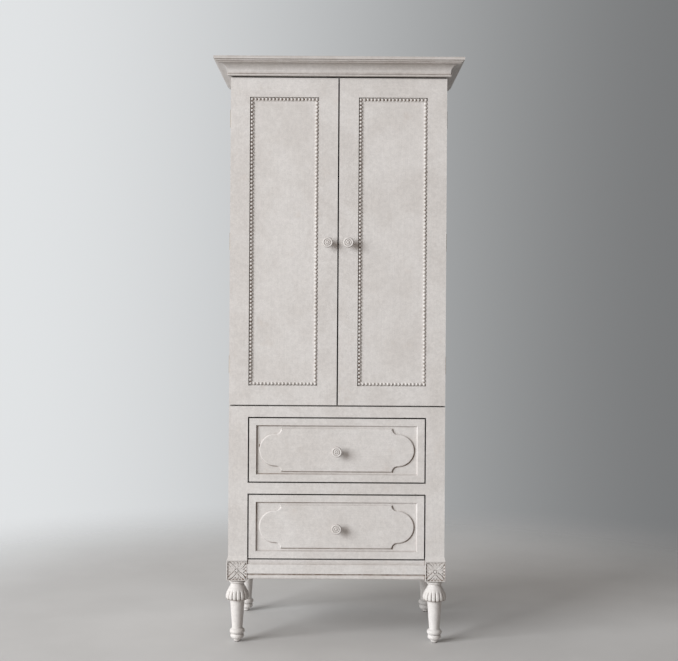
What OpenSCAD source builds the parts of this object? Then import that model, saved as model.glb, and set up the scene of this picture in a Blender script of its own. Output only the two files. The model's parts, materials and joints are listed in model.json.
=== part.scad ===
// Painted armoire: a pair of panelled doors over two drawers, on four turned legs.
// Millimetres. Z is up, the front faces -Y, X runs to the right of someone facing the front.
// The origin is on the floor, under the middle of the overall box.

/* [Overall] */
// Overall height, to the top of the cornice
overall_h = 2032; // [1980:1:2080]
// Overall depth, from the front of the cornice to the back of the rear legs
overall_d = 559; // [540:1:600]
// Width of the case across its sides
case_w = 752; // [720:1:800]
// Thickness of the case boards
board = 20; // [18:1:22]
// Gap round every door and drawer front
gap = 4.8; // [3:0.1:5]

/* [Legs] */
// Height of the turned part of a leg
leg_h = 218; // [210:1:225]
// Side of the square block above the turning
block_w = 71; // [70:0.5:72]
// Height of the square block
block_h = 70; // [68:1:72]
// How far the block stands proud of the case
block_proud = 4.5; // [4:0.1:5]
// Largest radius of the fluted collar
collar_r = 41; // [38:0.5:42]

/* [Face frame] */
// Height of each drawer opening
opening_h = 229.5; // [220:0.5:235]
// Height of the rails between the openings
rail_h = 37.25; // [34:0.25:40]
// Lower edge of the bottom drawer opening
opening_z = 291.5; // [290:0.5:296]
// Lower edge of the apron mouldings
apron_z = 225; // [222:1:230]

/* [Doors] */
// Thickness of a door frame
door_t = 22; // [20:1:24]
// Width of the stiles and rails of a door
door_frame_w = 67; // [62:0.5:70]
// Depth of the panel below the face of its frame
panel_depth = 6.5; // [6:0.5:8]
// Width of the strip that carries the beads
bead_strip_w = 14; // [13:0.5:15]
// Diameter of a bead
bead_d = 11; // [10:0.5:11.5]

/* [Drawers] */
// Thickness of a drawer front
front_t = 20; // [18:1:22]
// Plain border round the sunk field of a drawer front
field_border = 24; // [22:1:26]
// Depth of the sunk field
field_depth = 6.5; // [5:0.5:8]
// Length of a drawer box behind its front
box_l = 440; // [400:5:450]
// Height of a drawer box
box_h = 180; // [160:5:190]
// Thickness of the sides and ends of a drawer box
box_t = 15; // [12:1:16]

/* [Cornice] */
// Height of the cornice
cornice_h = 60; // [58:1:62]
// How far the cornice stands out from the case
cornice_out = 56; // [54:1:58]

/* [Fittings] */
// Largest radius of a knob
knob_r = 18.5; // [17:0.5:19]
// How far a knob stands out
knob_out = 31; // [28:1:34]
// Height of the hanging rail above the floor
rail_z = 1640; // [1600:5:1650]
// Underside of the hat shelf
shelf_z = 1700; // [1690:5:1760]

/* [Hidden] */

$fn = 48;
eps = 0.01;
paint = "#d3cdc8";
bare_wood = "#c9a877";
steel = "#b9bcc0";
brass = "#9a8358";

// Planes of the case
half_w = case_w / 2;
inner_x = half_w - board;
front_y = cornice_out - overall_d / 2;
back_y = overall_d / 2 - (collar_r - block_w / 2);
door_clear = 1;
carcass_y = front_y + door_t + door_clear;
case_top = overall_h - cornice_h;

// Corner blocks and legs
block_in = half_w + block_proud - block_w;
block_front_y = front_y - block_proud;
block_rear_y = block_front_y + block_w;
back_block_y = back_y - block_w;
block_top = leg_h + block_h;
shoulder_h = 16;
post_z = block_top + shoulder_h;
plaque_t = 4;

// Openings and rails
stile_in = half_w - 66.25;
mid_rail_z = opening_z + opening_h;
upper_z = mid_rail_z + rail_h;
top_rail_z = upper_z + opening_h;
waist_z = top_rail_z + rail_h;
floor_top = waist_z + 13;

// Back
back_rail_t = 22;
back_rail_y = back_y - back_rail_t;
back_panel_t = 6;
back_panel_y = back_rail_y + 10;
top_back_z = case_top - 42;
crown_drop = 12;
dust_t = 12;
anchor_r = 2.5;
anchor_x = 250;
anchor_z = case_top + 20;

// Side frames
side_rail_w = 67;
side_mid_z = waist_z - 50.5;
side_recess = 9;
side_panel_t = 9;

// Apron profile
apron_proud = 3;
fillet_z = 276;
groove_top = 243;
groove_bottom = 240;

// Doors
door_w = (case_w - gap) / 2;
door_z = waist_z + gap;
door_top = case_top - gap;
door_h = door_top - door_z;
door_back_y = front_y + door_t;
panel_face_y = front_y + panel_depth;
door_panel_t = 8;
opening_door_w = door_w - 2 * door_frame_w;
opening_door_h = door_h - 2 * door_frame_w;
door_mid_z = (door_z + door_top) / 2;

// Beads along one door: the number of steps between the corner beads
bead_steps_x = 18;
bead_steps_z = 76;
strip_t = 1;

// Hinges: the pin runs between the back of the door and the front of the case
hinge_x = half_w + 0.3;
hinge_y = (door_back_y + carcass_y) / 2;
hinge_h = 60;
knuckle_r = 2.75;
pin_r = 1.5;
pin_fit = 0.05;
pin_tip = 1.8;
barrel_fit = 0.3;
leaf_t = 1.2;
leaf_w = 16;
knuckle_h = 24;
hinge_inset = 140;
hinge_zs = [door_z + hinge_inset, door_mid_z, door_top - hinge_inset];

// Drawers
slide_t = 12.7;
box_x = stile_in - slide_t;
box_y = front_y + front_t;
box_lift = 13;
bottom_lift = 12;
bottom_t = 6;
slide_lift = 88;
slide_h = 45;
steel_t = 1.2;
lobe_l = 57.5;
notch_r = 19;
field_gap = 11;
raised_t = 5;
upper_front_z = upper_z + gap;
lower_front_z = opening_z + gap;
front_h = opening_h - 2 * gap;
front_w = 2 * (stile_in - gap);

// Knob stud and its nut
stud_r = 2.5;
stud_fit = 0.1;
nut_r = 6;
nut_t = 3;
knob_x = gap / 2 + door_frame_w / 2;
knob_drop = 3.5;
door_knob_z = door_mid_z - knob_drop;
front_knob_z = front_h / 2 - knob_drop;

// Interior
shelf_t = 18;
shelf_front_y = carcass_y + 15.5;
shelf_pin_r = 2.5;
shelf_pin_l = 20;
pin_front_y = carcass_y + 25;
pin_back_y = back_y - 40;
hang_y = 30;
tube_r = 12.5;
tube_wall = 1.5;
socket_l = 14;
socket_wall = 3;
flange_r = 24;
flange_t = 3;
catch_l = 44;
catch_h = 16;
catch_d = 14;
catch_x = 20;

// ---------- shared shapes ----------

// A box between two opposite corners
module slab(from, to) {
    translate(from) cube(to - from);
}

module both_sides() {
    children();
    mirror([1, 0, 0]) children();
}

// Points on an arc, from angle a0 to angle a1
function arc(centre, r, a0, a1, n = 8) = [
    for (i = [0:n])
        let (a = a0 + (a1 - a0) * i / n)
            centre + r * [cos(a), sin(a)]
];

// Extrudes an outline of [y, z] points along X
module along_x(x0, x1, outline) {
    translate([x0, 0, 0])
        rotate([90, 0, 90])
            linear_extrude(x1 - x0) polygon(outline);
}

// Extrudes an outline of [x, z] points along Y
module along_y(y0, y1, outline) {
    translate([0, y1, 0])
        rotate([90, 0, 0])
            linear_extrude(y1 - y0) polygon(outline);
}

// A round bar or bore along Y, from y0 to y1
module round_y(x, z, r, y0, y1) {
    translate([x, y1, z]) rotate([90, 0, 0]) cylinder(r = r, h = y1 - y0);
}

// ---------- case ----------

module side_stile_pair() {
    both_sides() {
        difference() {
            slab([inner_x, carcass_y, post_z], [half_w, block_rear_y, case_top]);
            for (z = hinge_zs) hinge_relief(z, carcass_y, 1);
            shelf_pin_hole(pin_front_y);
        }
        difference() {
            slab([inner_x, back_block_y, post_z], [half_w, back_y, case_top]);
            shelf_pin_hole(pin_back_y);
        }
    }
}

module shelf_pin_hole(y) {
    translate([inner_x - eps, y, shelf_z - shelf_pin_r])
        rotate([0, 90, 0]) cylinder(r = shelf_pin_r, h = shelf_pin_l / 2 + eps);
}

// Room for one right-hand hinge in a board: its barrel with the pin's tips, and its leaf let in flush.
// side is 1 for a board behind the hinge and -1 for a board in front of it.
module hinge_relief(z, face_y, side) {
    relief_h = hinge_h + 2 * (pin_tip + barrel_fit);
    translate([hinge_x, hinge_y, z - relief_h / 2])
        cylinder(r = knuckle_r + barrel_fit, h = relief_h);
    translate([hinge_x - knuckle_r - leaf_w, min(face_y, face_y + side * leaf_t), z - hinge_h / 2])
        cube([knuckle_r + leaf_w, leaf_t, hinge_h]);
}

module side_stiles() {
    color(paint) side_stile_pair();
}

module side_rails() {
    color(paint)
        for (z = [opening_z, side_mid_z, case_top - side_rail_w])
            both_sides()
                slab([inner_x, block_rear_y, z], [half_w, back_block_y, z + side_rail_w]);
}

module side_panels() {
    panel_x = half_w - side_recess;
    lower = [opening_z + side_rail_w, side_mid_z];
    upper = [side_mid_z + side_rail_w, case_top - side_rail_w];
    color(paint)
        for (span = [lower, upper])
            both_sides()
                slab([panel_x - side_panel_t, block_rear_y, span[0]], [panel_x, back_block_y, span[1]]);
}

module back_panel() {
    color(bare_wood)
        slab([-inner_x, back_panel_y, post_z], [inner_x, back_panel_y + back_panel_t, top_back_z]);
}

module back_rails() {
    color(paint) {
        slab([-block_in, back_rail_y, apron_z], [block_in, back_y, post_z]);
        difference() {
            slab([-inner_x, back_rail_y, top_back_z], [inner_x, back_y, overall_h - crown_drop]);
            for (x = [-anchor_x, anchor_x])
                round_y(x, anchor_z, anchor_r, back_rail_y - eps, back_y + eps);
        }
    }
}

module top_board() {
    color(paint) slab([-inner_x, carcass_y, case_top - board], [inner_x, back_rail_y, case_top]);
}

module cabinet_floor() {
    color(paint) slab([-inner_x, carcass_y, floor_top - board], [inner_x, back_panel_y, floor_top]);
}

module base_board() {
    base_z = block_top - board;
    color(bare_wood)
        difference() {
            slab([-inner_x, carcass_y, base_z], [inner_x, back_rail_y, base_z + board - 2]);
            both_sides() {
                slab([block_in, carcass_y - eps, base_z - eps], [half_w, block_rear_y, block_top]);
                slab([block_in, back_block_y, base_z - eps], [half_w, back_y, block_top]);
            }
        }
}

// Apron outline as [distance out from the case, height]: rail, step, groove and bead
function apron_outline() = let (
    bead_r = (groove_bottom - apron_z) / 2
) concat(
    [[-(door_t + door_clear), opening_z], [-(door_t + door_clear), apron_z]],
    [[0, apron_z]],
    [for (p = arc([0, apron_z + bead_r], bead_r, -90, 90, 10)) [p[0] * apron_proud / bead_r, p[1]]],
    [[0, groove_top], [apron_proud - 1, groove_top], [apron_proud, groove_top + 1]],
    [[apron_proud, fillet_z - 1], [apron_proud - 1, fillet_z], [0, fillet_z], [0, opening_z]]
);

module apron_front() {
    outline = [for (p = apron_outline()) [front_y - p[0], p[1]]];
    color(paint) along_x(-block_in, block_in, outline);
}

module side_aprons() {
    outline = [for (p = apron_outline()) [half_w + max(p[0], -board), p[1]]];
    color(paint) both_sides() along_y(block_rear_y, back_block_y, outline);
}

module front_stile() {
    slab([stile_in, front_y, post_z], [half_w, carcass_y, waist_z]);
}

module stile_left() {
    color(paint) mirror([1, 0, 0]) front_stile();
}

module stile_right() {
    color(paint) front_stile();
}

module upper_rail() {
    color(paint) slab([-stile_in, front_y, top_rail_z], [stile_in, carcass_y, waist_z]);
}

module middle_rail() {
    color(paint) slab([-stile_in, front_y, mid_rail_z], [stile_in, carcass_y, upper_z]);
}

// ---------- cornice ----------

// Cornice outline as [distance out from the case, height]
function cornice_outline() = let (
    top = overall_h,
    cove_r = 24,
    cove_x = 35.5,
    cove_z = overall_h - 44.5,
    bead_r = 3,
    neck = cove_x - cove_r
) concat(
    [[-board, top], [-board, case_top]],
    [[neck - 1.5, case_top]],
    arc([neck - 1.5, case_top + bead_r], bead_r, -90, 90),
    [[neck, case_top + 2 * bead_r + 1.5]],
    arc([cove_x, cove_z], cove_r, 180, 90, 12),
    [[44, cove_z + cove_r + 0.5], [44, cove_z + 28.5], [50, cove_z + 29.5]],
    [[50, cove_z + 33.5], [cornice_out - 0.8, cove_z + 34.5], [cornice_out, cove_z + 35.3]],
    [[cornice_out, top - 0.8], [cornice_out - 0.8, top]]
);

module cornice_front() {
    outline = [for (p = cornice_outline()) [front_y - p[0], p[1]]];
    reach = half_w + cornice_out;
    plan = [
        [-reach, front_y - cornice_out], [reach, front_y - cornice_out],
        [inner_x, front_y + board], [-inner_x, front_y + board]
    ];
    color(paint)
        intersection() {
            along_x(-reach, reach, outline);
            translate([0, 0, case_top - 1]) linear_extrude(cornice_h + 2) polygon(plan);
        }
}

module cornice_return() {
    outline = [for (p = cornice_outline()) [half_w + p[0], p[1]]];
    reach = half_w + cornice_out;
    plan = [
        [inner_x, front_y + board], [reach, front_y - cornice_out],
        [reach, back_y], [inner_x, back_y]
    ];
    intersection() {
        along_y(front_y - cornice_out, back_y, outline);
        translate([0, 0, case_top - 1]) linear_extrude(cornice_h + 2) polygon(plan);
    }
}

module cornice_left() {
    color(paint) mirror([1, 0, 0]) cornice_return();
}

module cornice_right() {
    color(paint) cornice_return();
}

module cornice_top() {
    top = overall_h - crown_drop;
    color(paint) slab([-inner_x, front_y + board, top - dust_t], [inner_x, back_rail_y, top]);
}

// ---------- legs ----------

// Half outline of the turning as [radius, height], from the foot up
function leg_outline() = concat(
    [[0, 0], [9, 0], [12, 5]],
    arc([13, 20.5], 10.4, -50, 60),
    arc([17, 37], 9, -60, 60),
    [[18.1, 47.5], [25.7, 150], [34, 149.4], [collar_r - 3.4, 151], [collar_r - 1.3, 154.5]],
    arc([collar_r - 20, 161], 20, -12, 14),
    [[collar_r - 3.1, 172], [34, 181.8], [30.6, 187.8], [26.8, 193], [23.9, 198.8], [22.8, 204]],
    arc([24.5, 209.5], 3.5, -90, 90),
    [[24.5, leg_h], [0, leg_h]]
);

// A leg at the right-hand front corner, or at the back, with its block inside the case
module leg(back) {
    y0 = back ? back_block_y : block_front_y;
    core_y = back ? y0 : y0 + plaque_t;
    x1 = half_w + block_proud;
    axis = [(block_in + x1) / 2, y0 + block_w / 2];
    front_slope = back ? 0 : block_proud;
    color(paint)
        union() {
            translate([axis[0], axis[1], 0]) rotate_extrude() polygon(leg_outline());
            slab([block_in, core_y, leg_h], [x1 - plaque_t, y0 + block_w, block_top]);
            intersection() {
                along_y(y0, y0 + block_w, [
                    [block_in, block_top], [x1, block_top],
                    [half_w, post_z], [block_in, post_z]
                ]);
                along_x(block_in, x1, [
                    [y0, block_top], [y0 + block_w, block_top],
                    [y0 + block_w, post_z], [y0 + front_slope, post_z]
                ]);
            }
        }
}

module leg_front_left() {
    mirror([1, 0, 0]) leg(false);
}

module leg_front_right() {
    leg(false);
}

module leg_back_left() {
    mirror([1, 0, 0]) leg(true);
}

module leg_back_right() {
    leg(true);
}

// A carved square of width w and height block_h, facing -Y, its back on y = 0
module rosette(w) {
    rim = 3.5;
    ground_t = 1.5;
    leaf_w = 9;
    leaf_l = 0.46 * norm([w, block_h]);
    union() {
        slab([-w / 2, -ground_t, -block_h / 2], [w / 2, 0, block_h / 2]);
        difference() {
            slab([-w / 2, -plaque_t, -block_h / 2], [w / 2, 0, block_h / 2]);
            slab([rim - w / 2, -plaque_t - eps, rim - block_h / 2], [w / 2 - rim, eps, block_h / 2 - rim]);
        }
        for (a = [45:90:315])
            rotate([0, a, 0])
                along_y(-plaque_t + 0.8, 0, [
                    [0, 0], [leaf_w / 2, leaf_l / 3], [leaf_w / 2, 2 * leaf_l / 3],
                    [0, leaf_l], [-leaf_w / 2, 2 * leaf_l / 3], [-leaf_w / 2, leaf_l / 3]
                ]);
        round_y(0, 0, 4.5, -plaque_t, 0);
    }
}

module rosettes() {
    mid_z = leg_h + block_h / 2;
    x1 = half_w + block_proud;
    side_w = block_w - plaque_t;
    color(paint)
        both_sides() {
            translate([x1 - block_w / 2, block_front_y + plaque_t, mid_z]) rosette(block_w);
            translate([x1 - plaque_t, block_rear_y - side_w / 2, mid_z])
                rotate([0, 0, 90]) rosette(side_w);
            translate([x1 - plaque_t, back_y - block_w / 2, mid_z])
                rotate([0, 0, 90]) rosette(block_w);
        }
}

// ---------- drawer slides ----------

// Half of a slide pair, on the right: a channel of the given height whose web starts at u
// from the packer and whose lips run on to u_lip
module channel(z, h, u, u_lip) {
    web_out = stile_in - u;
    web_in = web_out - steel_t * sign(u_lip - u);
    lip = stile_in - u_lip;
    lo = min(web_out, web_in, lip);
    hi = max(web_out, web_in, lip);
    difference() {
        slab([lo, carcass_y + 1, z - h / 2], [hi, carcass_y + box_l - 1, z + h / 2]);
        slab(
            [u_lip > u ? lo - eps : lo + steel_t, carcass_y, z - h / 2 + steel_t],
            [u_lip > u ? hi - steel_t : hi + eps, carcass_y + box_l, z + h / 2 - steel_t]
        );
    }
}

module slide_packers() {
    packer_h = 60;
    color(bare_wood)
        for (z = [upper_front_z, lower_front_z])
            both_sides()
                slab(
                    [stile_in, carcass_y, z + slide_lift - packer_h / 2],
                    [inner_x, carcass_y + box_l, z + slide_lift + packer_h / 2]
                );
}

module slide_outer_members() {
    color(steel)
        for (z = [upper_front_z, lower_front_z])
            both_sides() channel(z + slide_lift, slide_h, 0, 9);
}

module slide_middle_member(z) {
    color(steel) both_sides() channel(z + slide_lift, slide_h - 5.4, 2.4, 10.2);
}

module slide_middle_upper() {
    slide_middle_member(upper_front_z);
}

module slide_middle_lower() {
    slide_middle_member(lower_front_z);
}

// ---------- interior ----------

module hat_shelf() {
    color(paint)
        slab([1 - inner_x, shelf_front_y, shelf_z], [inner_x - 1, back_panel_y - 2, shelf_z + shelf_t]);
}

module shelf_pins() {
    color(steel)
        both_sides()
            for (y = [pin_front_y, pin_back_y])
                translate([inner_x - shelf_pin_l / 2, y, shelf_z - shelf_pin_r])
                    rotate([0, 90, 0]) cylinder(r = shelf_pin_r, h = shelf_pin_l);
}

module hanging_rail() {
    reach = inner_x - socket_wall;
    color(steel)
        translate([-reach, hang_y, rail_z])
            rotate([0, 90, 0])
                difference() {
                    cylinder(r = tube_r, h = 2 * reach);
                    translate([0, 0, -eps]) cylinder(r = tube_r - tube_wall, h = 2 * reach + 2 * eps);
                }
}

module rail_sockets() {
    wall_x = half_w - side_recess - side_panel_t;
    color(steel)
        both_sides()
            translate([wall_x, hang_y, rail_z])
                rotate([0, -90, 0])
                    difference() {
                        union() {
                            cylinder(r = flange_r, h = flange_t);
                            cylinder(r = tube_r + socket_wall, h = socket_l);
                        }
                        translate([0, 0, wall_x - inner_x + socket_wall])
                            cylinder(r = tube_r + pin_fit, h = socket_l);
                    }
}

module door_catches() {
    front = carcass_y + door_clear;
    z1 = case_top - board;
    color(bare_wood)
        both_sides()
            difference() {
                slab([catch_x, front, z1 - catch_h], [catch_x + catch_l, front + catch_d, z1]);
                slab(
                    [catch_x + 5, front - eps, z1 - catch_h + 5],
                    [catch_x + catch_l - 5, front + 2, z1 - 5]
                );
            }
}

// ---------- hinges ----------

// One length of barrel of a hinge, bored for the pin
module knuckle(z0, z1, bore) {
    translate([hinge_x, hinge_y, z0])
        difference() {
            cylinder(r = knuckle_r, h = z1 - z0);
            translate([0, 0, -eps]) cylinder(r = bore, h = z1 - z0 + 2 * eps);
        }
}

// A leaf let into a board, joined to its knuckles
module hinge_leaf(z, y0, bore, spans) {
    difference() {
        union() {
            translate([hinge_x - knuckle_r - leaf_w, y0, z - hinge_h / 2])
                cube([leaf_w + knuckle_r / 2, leaf_t, hinge_h]);
            for (s = spans)
                translate([hinge_x - knuckle_r, y0, z + s[0]])
                    cube([knuckle_r, leaf_t, s[1] - s[0]]);
            for (s = spans)
                knuckle(z + s[0], z + s[1], bore);
        }
        translate([hinge_x, hinge_y, z - hinge_h])
            cylinder(r = bore, h = 2 * hinge_h);
        for (s = free_spans(spans))
            translate([hinge_x, hinge_y, z + s[0]])
                cylinder(r = knuckle_r + barrel_fit, h = s[1] - s[0]);
    }
}

// The stretches of a hinge's height that the other leaf's knuckles turn in
function free_spans(spans) = len(spans) == 1
    ? [[-hinge_h / 2 - 1, spans[0][0]], [spans[0][1], hinge_h / 2 + 1]]
    : [[spans[0][1], spans[1][0]]];

case_spans = [[-hinge_h / 2, -knuckle_h / 2], [knuckle_h / 2, hinge_h / 2]];
door_spans = [[barrel_fit - knuckle_h / 2, knuckle_h / 2 - barrel_fit]];

module case_hinge_leaves() {
    color(brass)
        both_sides()
            for (z = hinge_zs)
                hinge_leaf(z, carcass_y, pin_r + 0.01, case_spans);
}

module hinge_pins() {
    color(brass)
        both_sides()
            for (z = hinge_zs)
                translate([hinge_x, hinge_y, z]) {
                    translate([0, 0, -hinge_h / 2]) cylinder(r = pin_r, h = hinge_h);
                    for (end = [0, 1])
                        mirror([0, 0, end])
                            translate([0, 0, hinge_h / 2]) cylinder(r1 = knuckle_r, r2 = pin_r, h = pin_tip);
                }
}

module door_hinge_leaves() {
    color(brass)
        for (z = hinge_zs)
            hinge_leaf(z, door_back_y - leaf_t, pin_r + pin_fit, door_spans);
}

// ---------- doors, drawn for the right-hand door ----------

module door_stiles() {
    color(paint)
        difference() {
            union() {
                slab([half_w - door_frame_w, front_y, door_z], [half_w, door_back_y, door_top]);
                slab([gap / 2, front_y, door_z], [gap / 2 + door_frame_w, door_back_y, door_top]);
            }
            for (z = hinge_zs) hinge_relief(z, door_back_y, -1);
            round_y(knob_x, door_knob_z, stud_r + stud_fit, front_y - eps, door_back_y + eps);
        }
}

module door_rails() {
    x0 = gap / 2 + door_frame_w;
    color(paint)
        for (z = [door_z, door_top - door_frame_w])
            slab([x0, front_y, z], [x0 + opening_door_w, door_back_y, z + door_frame_w]);
}

module door_panel() {
    x0 = gap / 2 + door_frame_w;
    color(paint)
        slab(
            [x0, panel_face_y, door_z + door_frame_w],
            [x0 + opening_door_w, panel_face_y + door_panel_t, door_top - door_frame_w]
        );
}

// A strip round the edge of the panel, with a row of beads along it
module door_beading() {
    x0 = gap / 2 + door_frame_w;
    z0 = door_z + door_frame_w;
    path_w = opening_door_w - bead_strip_w;
    path_h = opening_door_h - bead_strip_w;
    bead_y = panel_face_y - strip_t;
    back = panel_face_y + bead_d / 2;
    color(paint)
        translate([x0 + bead_strip_w / 2, 0, z0 + bead_strip_w / 2])
            difference() {
                union() {
                    slab(
                        [-bead_strip_w / 2, bead_y, -bead_strip_w / 2],
                        [path_w + bead_strip_w / 2, back, path_h + bead_strip_w / 2]
                    );
                    for (i = [0:bead_steps_x])
                        for (z = [0, path_h])
                            bead(i * path_w / bead_steps_x, z, bead_y);
                    for (i = [1:bead_steps_z - 1])
                        for (x = [0, path_w])
                            bead(x, i * path_h / bead_steps_z, bead_y);
                }
                slab(
                    [bead_strip_w / 2, bead_y - eps, bead_strip_w / 2],
                    [path_w - bead_strip_w / 2, back + eps, path_h - bead_strip_w / 2]
                );
                slab(
                    [-bead_strip_w, panel_face_y, -bead_strip_w],
                    [path_w + bead_strip_w, back + eps, path_h + bead_strip_w]
                );
            }
}

module bead(x, z, y) {
    translate([x, y, z]) sphere(d = bead_d, $fn = 24);
}

// Half outline of a knob as [radius, distance out], with the stud and nut behind the board
function knob_outline(depth) = concat(
    [[0, -depth - nut_t], [nut_r, -depth - nut_t], [nut_r, -depth]],
    [[stud_r, -depth], [stud_r, 0], [10, 0], [10, 2]],
    arc([14.5, 9.5], 7, 235, 150, 6),
    [[knob_r - 4, knob_out - 12.5], [knob_r - 1, knob_out - 10]],
    arc([knob_r - 2.5, knob_out - 6.5], 2.5, -40, 90, 6),
    [[knob_r - 4, knob_out - 5.2], [knob_r - 6, knob_out - 3.4], [knob_r - 8, knob_out - 3.6]],
    [[knob_r - 9.5, knob_out - 4.6], [5.5, knob_out - 3.4], [4.5, knob_out - 1.2], [2.5, knob_out]],
    [[0, knob_out]]
);

module knob(x, z, depth) {
    color(paint)
        translate([x, front_y, z])
            rotate([90, 0, 0]) rotate_extrude() polygon(knob_outline(depth));
}

module door_strike() {
    z1 = case_top - board - 1;
    color(steel)
        slab(
            [catch_x + 4, door_back_y, z1 - catch_h + 2],
            [catch_x + catch_l - 4, door_back_y + leaf_t, z1]
        );
}

module on_left() {
    mirror([1, 0, 0]) children();
}

module door_left_stiles() { on_left() door_stiles(); }
module door_left_rails() { on_left() door_rails(); }
module door_left_panel() { on_left() door_panel(); }
module door_left_beading() { on_left() door_beading(); }
module door_left_knob() { on_left() knob(knob_x, door_knob_z, door_t); }
module door_left_hinge_leaves() { on_left() door_hinge_leaves(); }
module door_left_strike() { on_left() door_strike(); }
module door_right_stiles() { door_stiles(); }
module door_right_rails() { door_rails(); }
module door_right_panel() { door_panel(); }
module door_right_beading() { door_beading(); }
module door_right_knob() { knob(knob_x, door_knob_z, door_t); }
module door_right_hinge_leaves() { door_hinge_leaves(); }
module door_right_strike() { door_strike(); }

// ---------- drawers, each with the lower edge of its front at z ----------

// Outline of the raised field: a full-height middle, a hollow at each corner, a round lobe at each end
function serpentine(l, h) = let (
    x = l / 2 - lobe_l,
    lobe_h = h / 2 - notch_r,
    hollow = arc([x, h / 2], notch_r, 180, 270),
    lobe = [for (a = [75:-15:0]) [x + lobe_l * cos(a), lobe_h * sin(a)]],
    quarter = concat(hollow, lobe),
    n = len(quarter)
) concat(
    quarter,
    [for (i = [n - 2:-1:0]) [quarter[i][0], -quarter[i][1]]],
    [for (p = quarter) [-p[0], -p[1]]],
    [for (i = [n - 2:-1:0]) [-quarter[i][0], quarter[i][1]]]
);

module drawer_front(z) {
    field_w = front_w - 2 * field_border;
    field_h = front_h - 2 * field_border;
    floor_y = front_y + field_depth;
    mid_z = z + front_h / 2;
    color(paint)
        difference() {
            union() {
                difference() {
                    slab([-front_w / 2, front_y, z], [front_w / 2, box_y, z + front_h]);
                    slab(
                        [-field_w / 2, front_y - eps, z + field_border],
                        [field_w / 2, floor_y, z + field_border + field_h]
                    );
                }
                translate([0, 0, mid_z])
                    along_y(
                        floor_y - raised_t, floor_y + 1,
                        serpentine(field_w - 2 * field_gap, field_h - 2 * field_gap)
                    );
            }
            round_y(0, z + front_knob_z, stud_r + stud_fit, front_y - eps, box_y + eps);
        }
}

module drawer_sides(z) {
    z0 = z + box_lift;
    color(bare_wood)
        both_sides() slab([box_x - box_t, box_y, z0], [box_x, box_y + box_l, z0 + box_h]);
}

module drawer_ends(z) {
    z0 = z + box_lift;
    inside = box_x - box_t;
    color(bare_wood) {
        difference() {
            slab([-inside, box_y, z0], [inside, box_y + box_t, z0 + box_h]);
            round_y(0, z + front_knob_z, stud_r + stud_fit, box_y - eps, box_y + box_t + eps);
        }
        slab([-inside, box_y + box_l - box_t, z0], [inside, box_y + box_l, z0 + box_h]);
    }
}

module drawer_bottom(z) {
    z0 = z + box_lift + bottom_lift;
    inside = box_x - box_t;
    color(bare_wood)
        slab([-inside, box_y + box_t, z0], [inside, box_y + box_l - box_t, z0 + bottom_t]);
}

module drawer_slides(z) {
    color(steel) both_sides() channel(z + slide_lift, slide_h - 11, slide_t, 5);
}

module drawer_knob(z) {
    knob(0, z + front_knob_z, front_t + box_t);
}

module drawer_upper_front() { drawer_front(upper_front_z); }
module drawer_upper_sides() { drawer_sides(upper_front_z); }
module drawer_upper_ends() { drawer_ends(upper_front_z); }
module drawer_upper_bottom() { drawer_bottom(upper_front_z); }
module drawer_upper_knob() { drawer_knob(upper_front_z); }
module drawer_upper_slides() { drawer_slides(upper_front_z); }
module drawer_lower_front() { drawer_front(lower_front_z); }
module drawer_lower_sides() { drawer_sides(lower_front_z); }
module drawer_lower_ends() { drawer_ends(lower_front_z); }
module drawer_lower_bottom() { drawer_bottom(lower_front_z); }
module drawer_lower_knob() { drawer_knob(lower_front_z); }
module drawer_lower_slides() { drawer_slides(lower_front_z); }

side_stiles();
side_rails();
side_panels();
back_panel();
back_rails();
top_board();
cabinet_floor();
base_board();
apron_front();
side_aprons();
stile_left();
stile_right();
upper_rail();
middle_rail();
cornice_front();
cornice_left();
cornice_right();
cornice_top();
leg_front_left();
leg_front_right();
leg_back_left();
leg_back_right();
rosettes();
slide_packers();
slide_outer_members();
slide_middle_upper();
slide_middle_lower();
hat_shelf();
shelf_pins();
hanging_rail();
rail_sockets();
door_catches();
case_hinge_leaves();
hinge_pins();
door_left_stiles();
door_left_rails();
door_left_panel();
door_left_beading();
door_left_knob();
door_left_hinge_leaves();
door_left_strike();
door_right_stiles();
door_right_rails();
door_right_panel();
door_right_beading();
door_right_knob();
door_right_hinge_leaves();
door_right_strike();
drawer_upper_front();
drawer_upper_sides();
drawer_upper_ends();
drawer_upper_bottom();
drawer_upper_knob();
drawer_upper_slides();
drawer_lower_front();
drawer_lower_sides();
drawer_lower_ends();
drawer_lower_bottom();
drawer_lower_knob();
drawer_lower_slides();
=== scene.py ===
import json
import math
import random

import bmesh
import bpy
import numpy as np
from mathutils import Matrix, Vector

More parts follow.
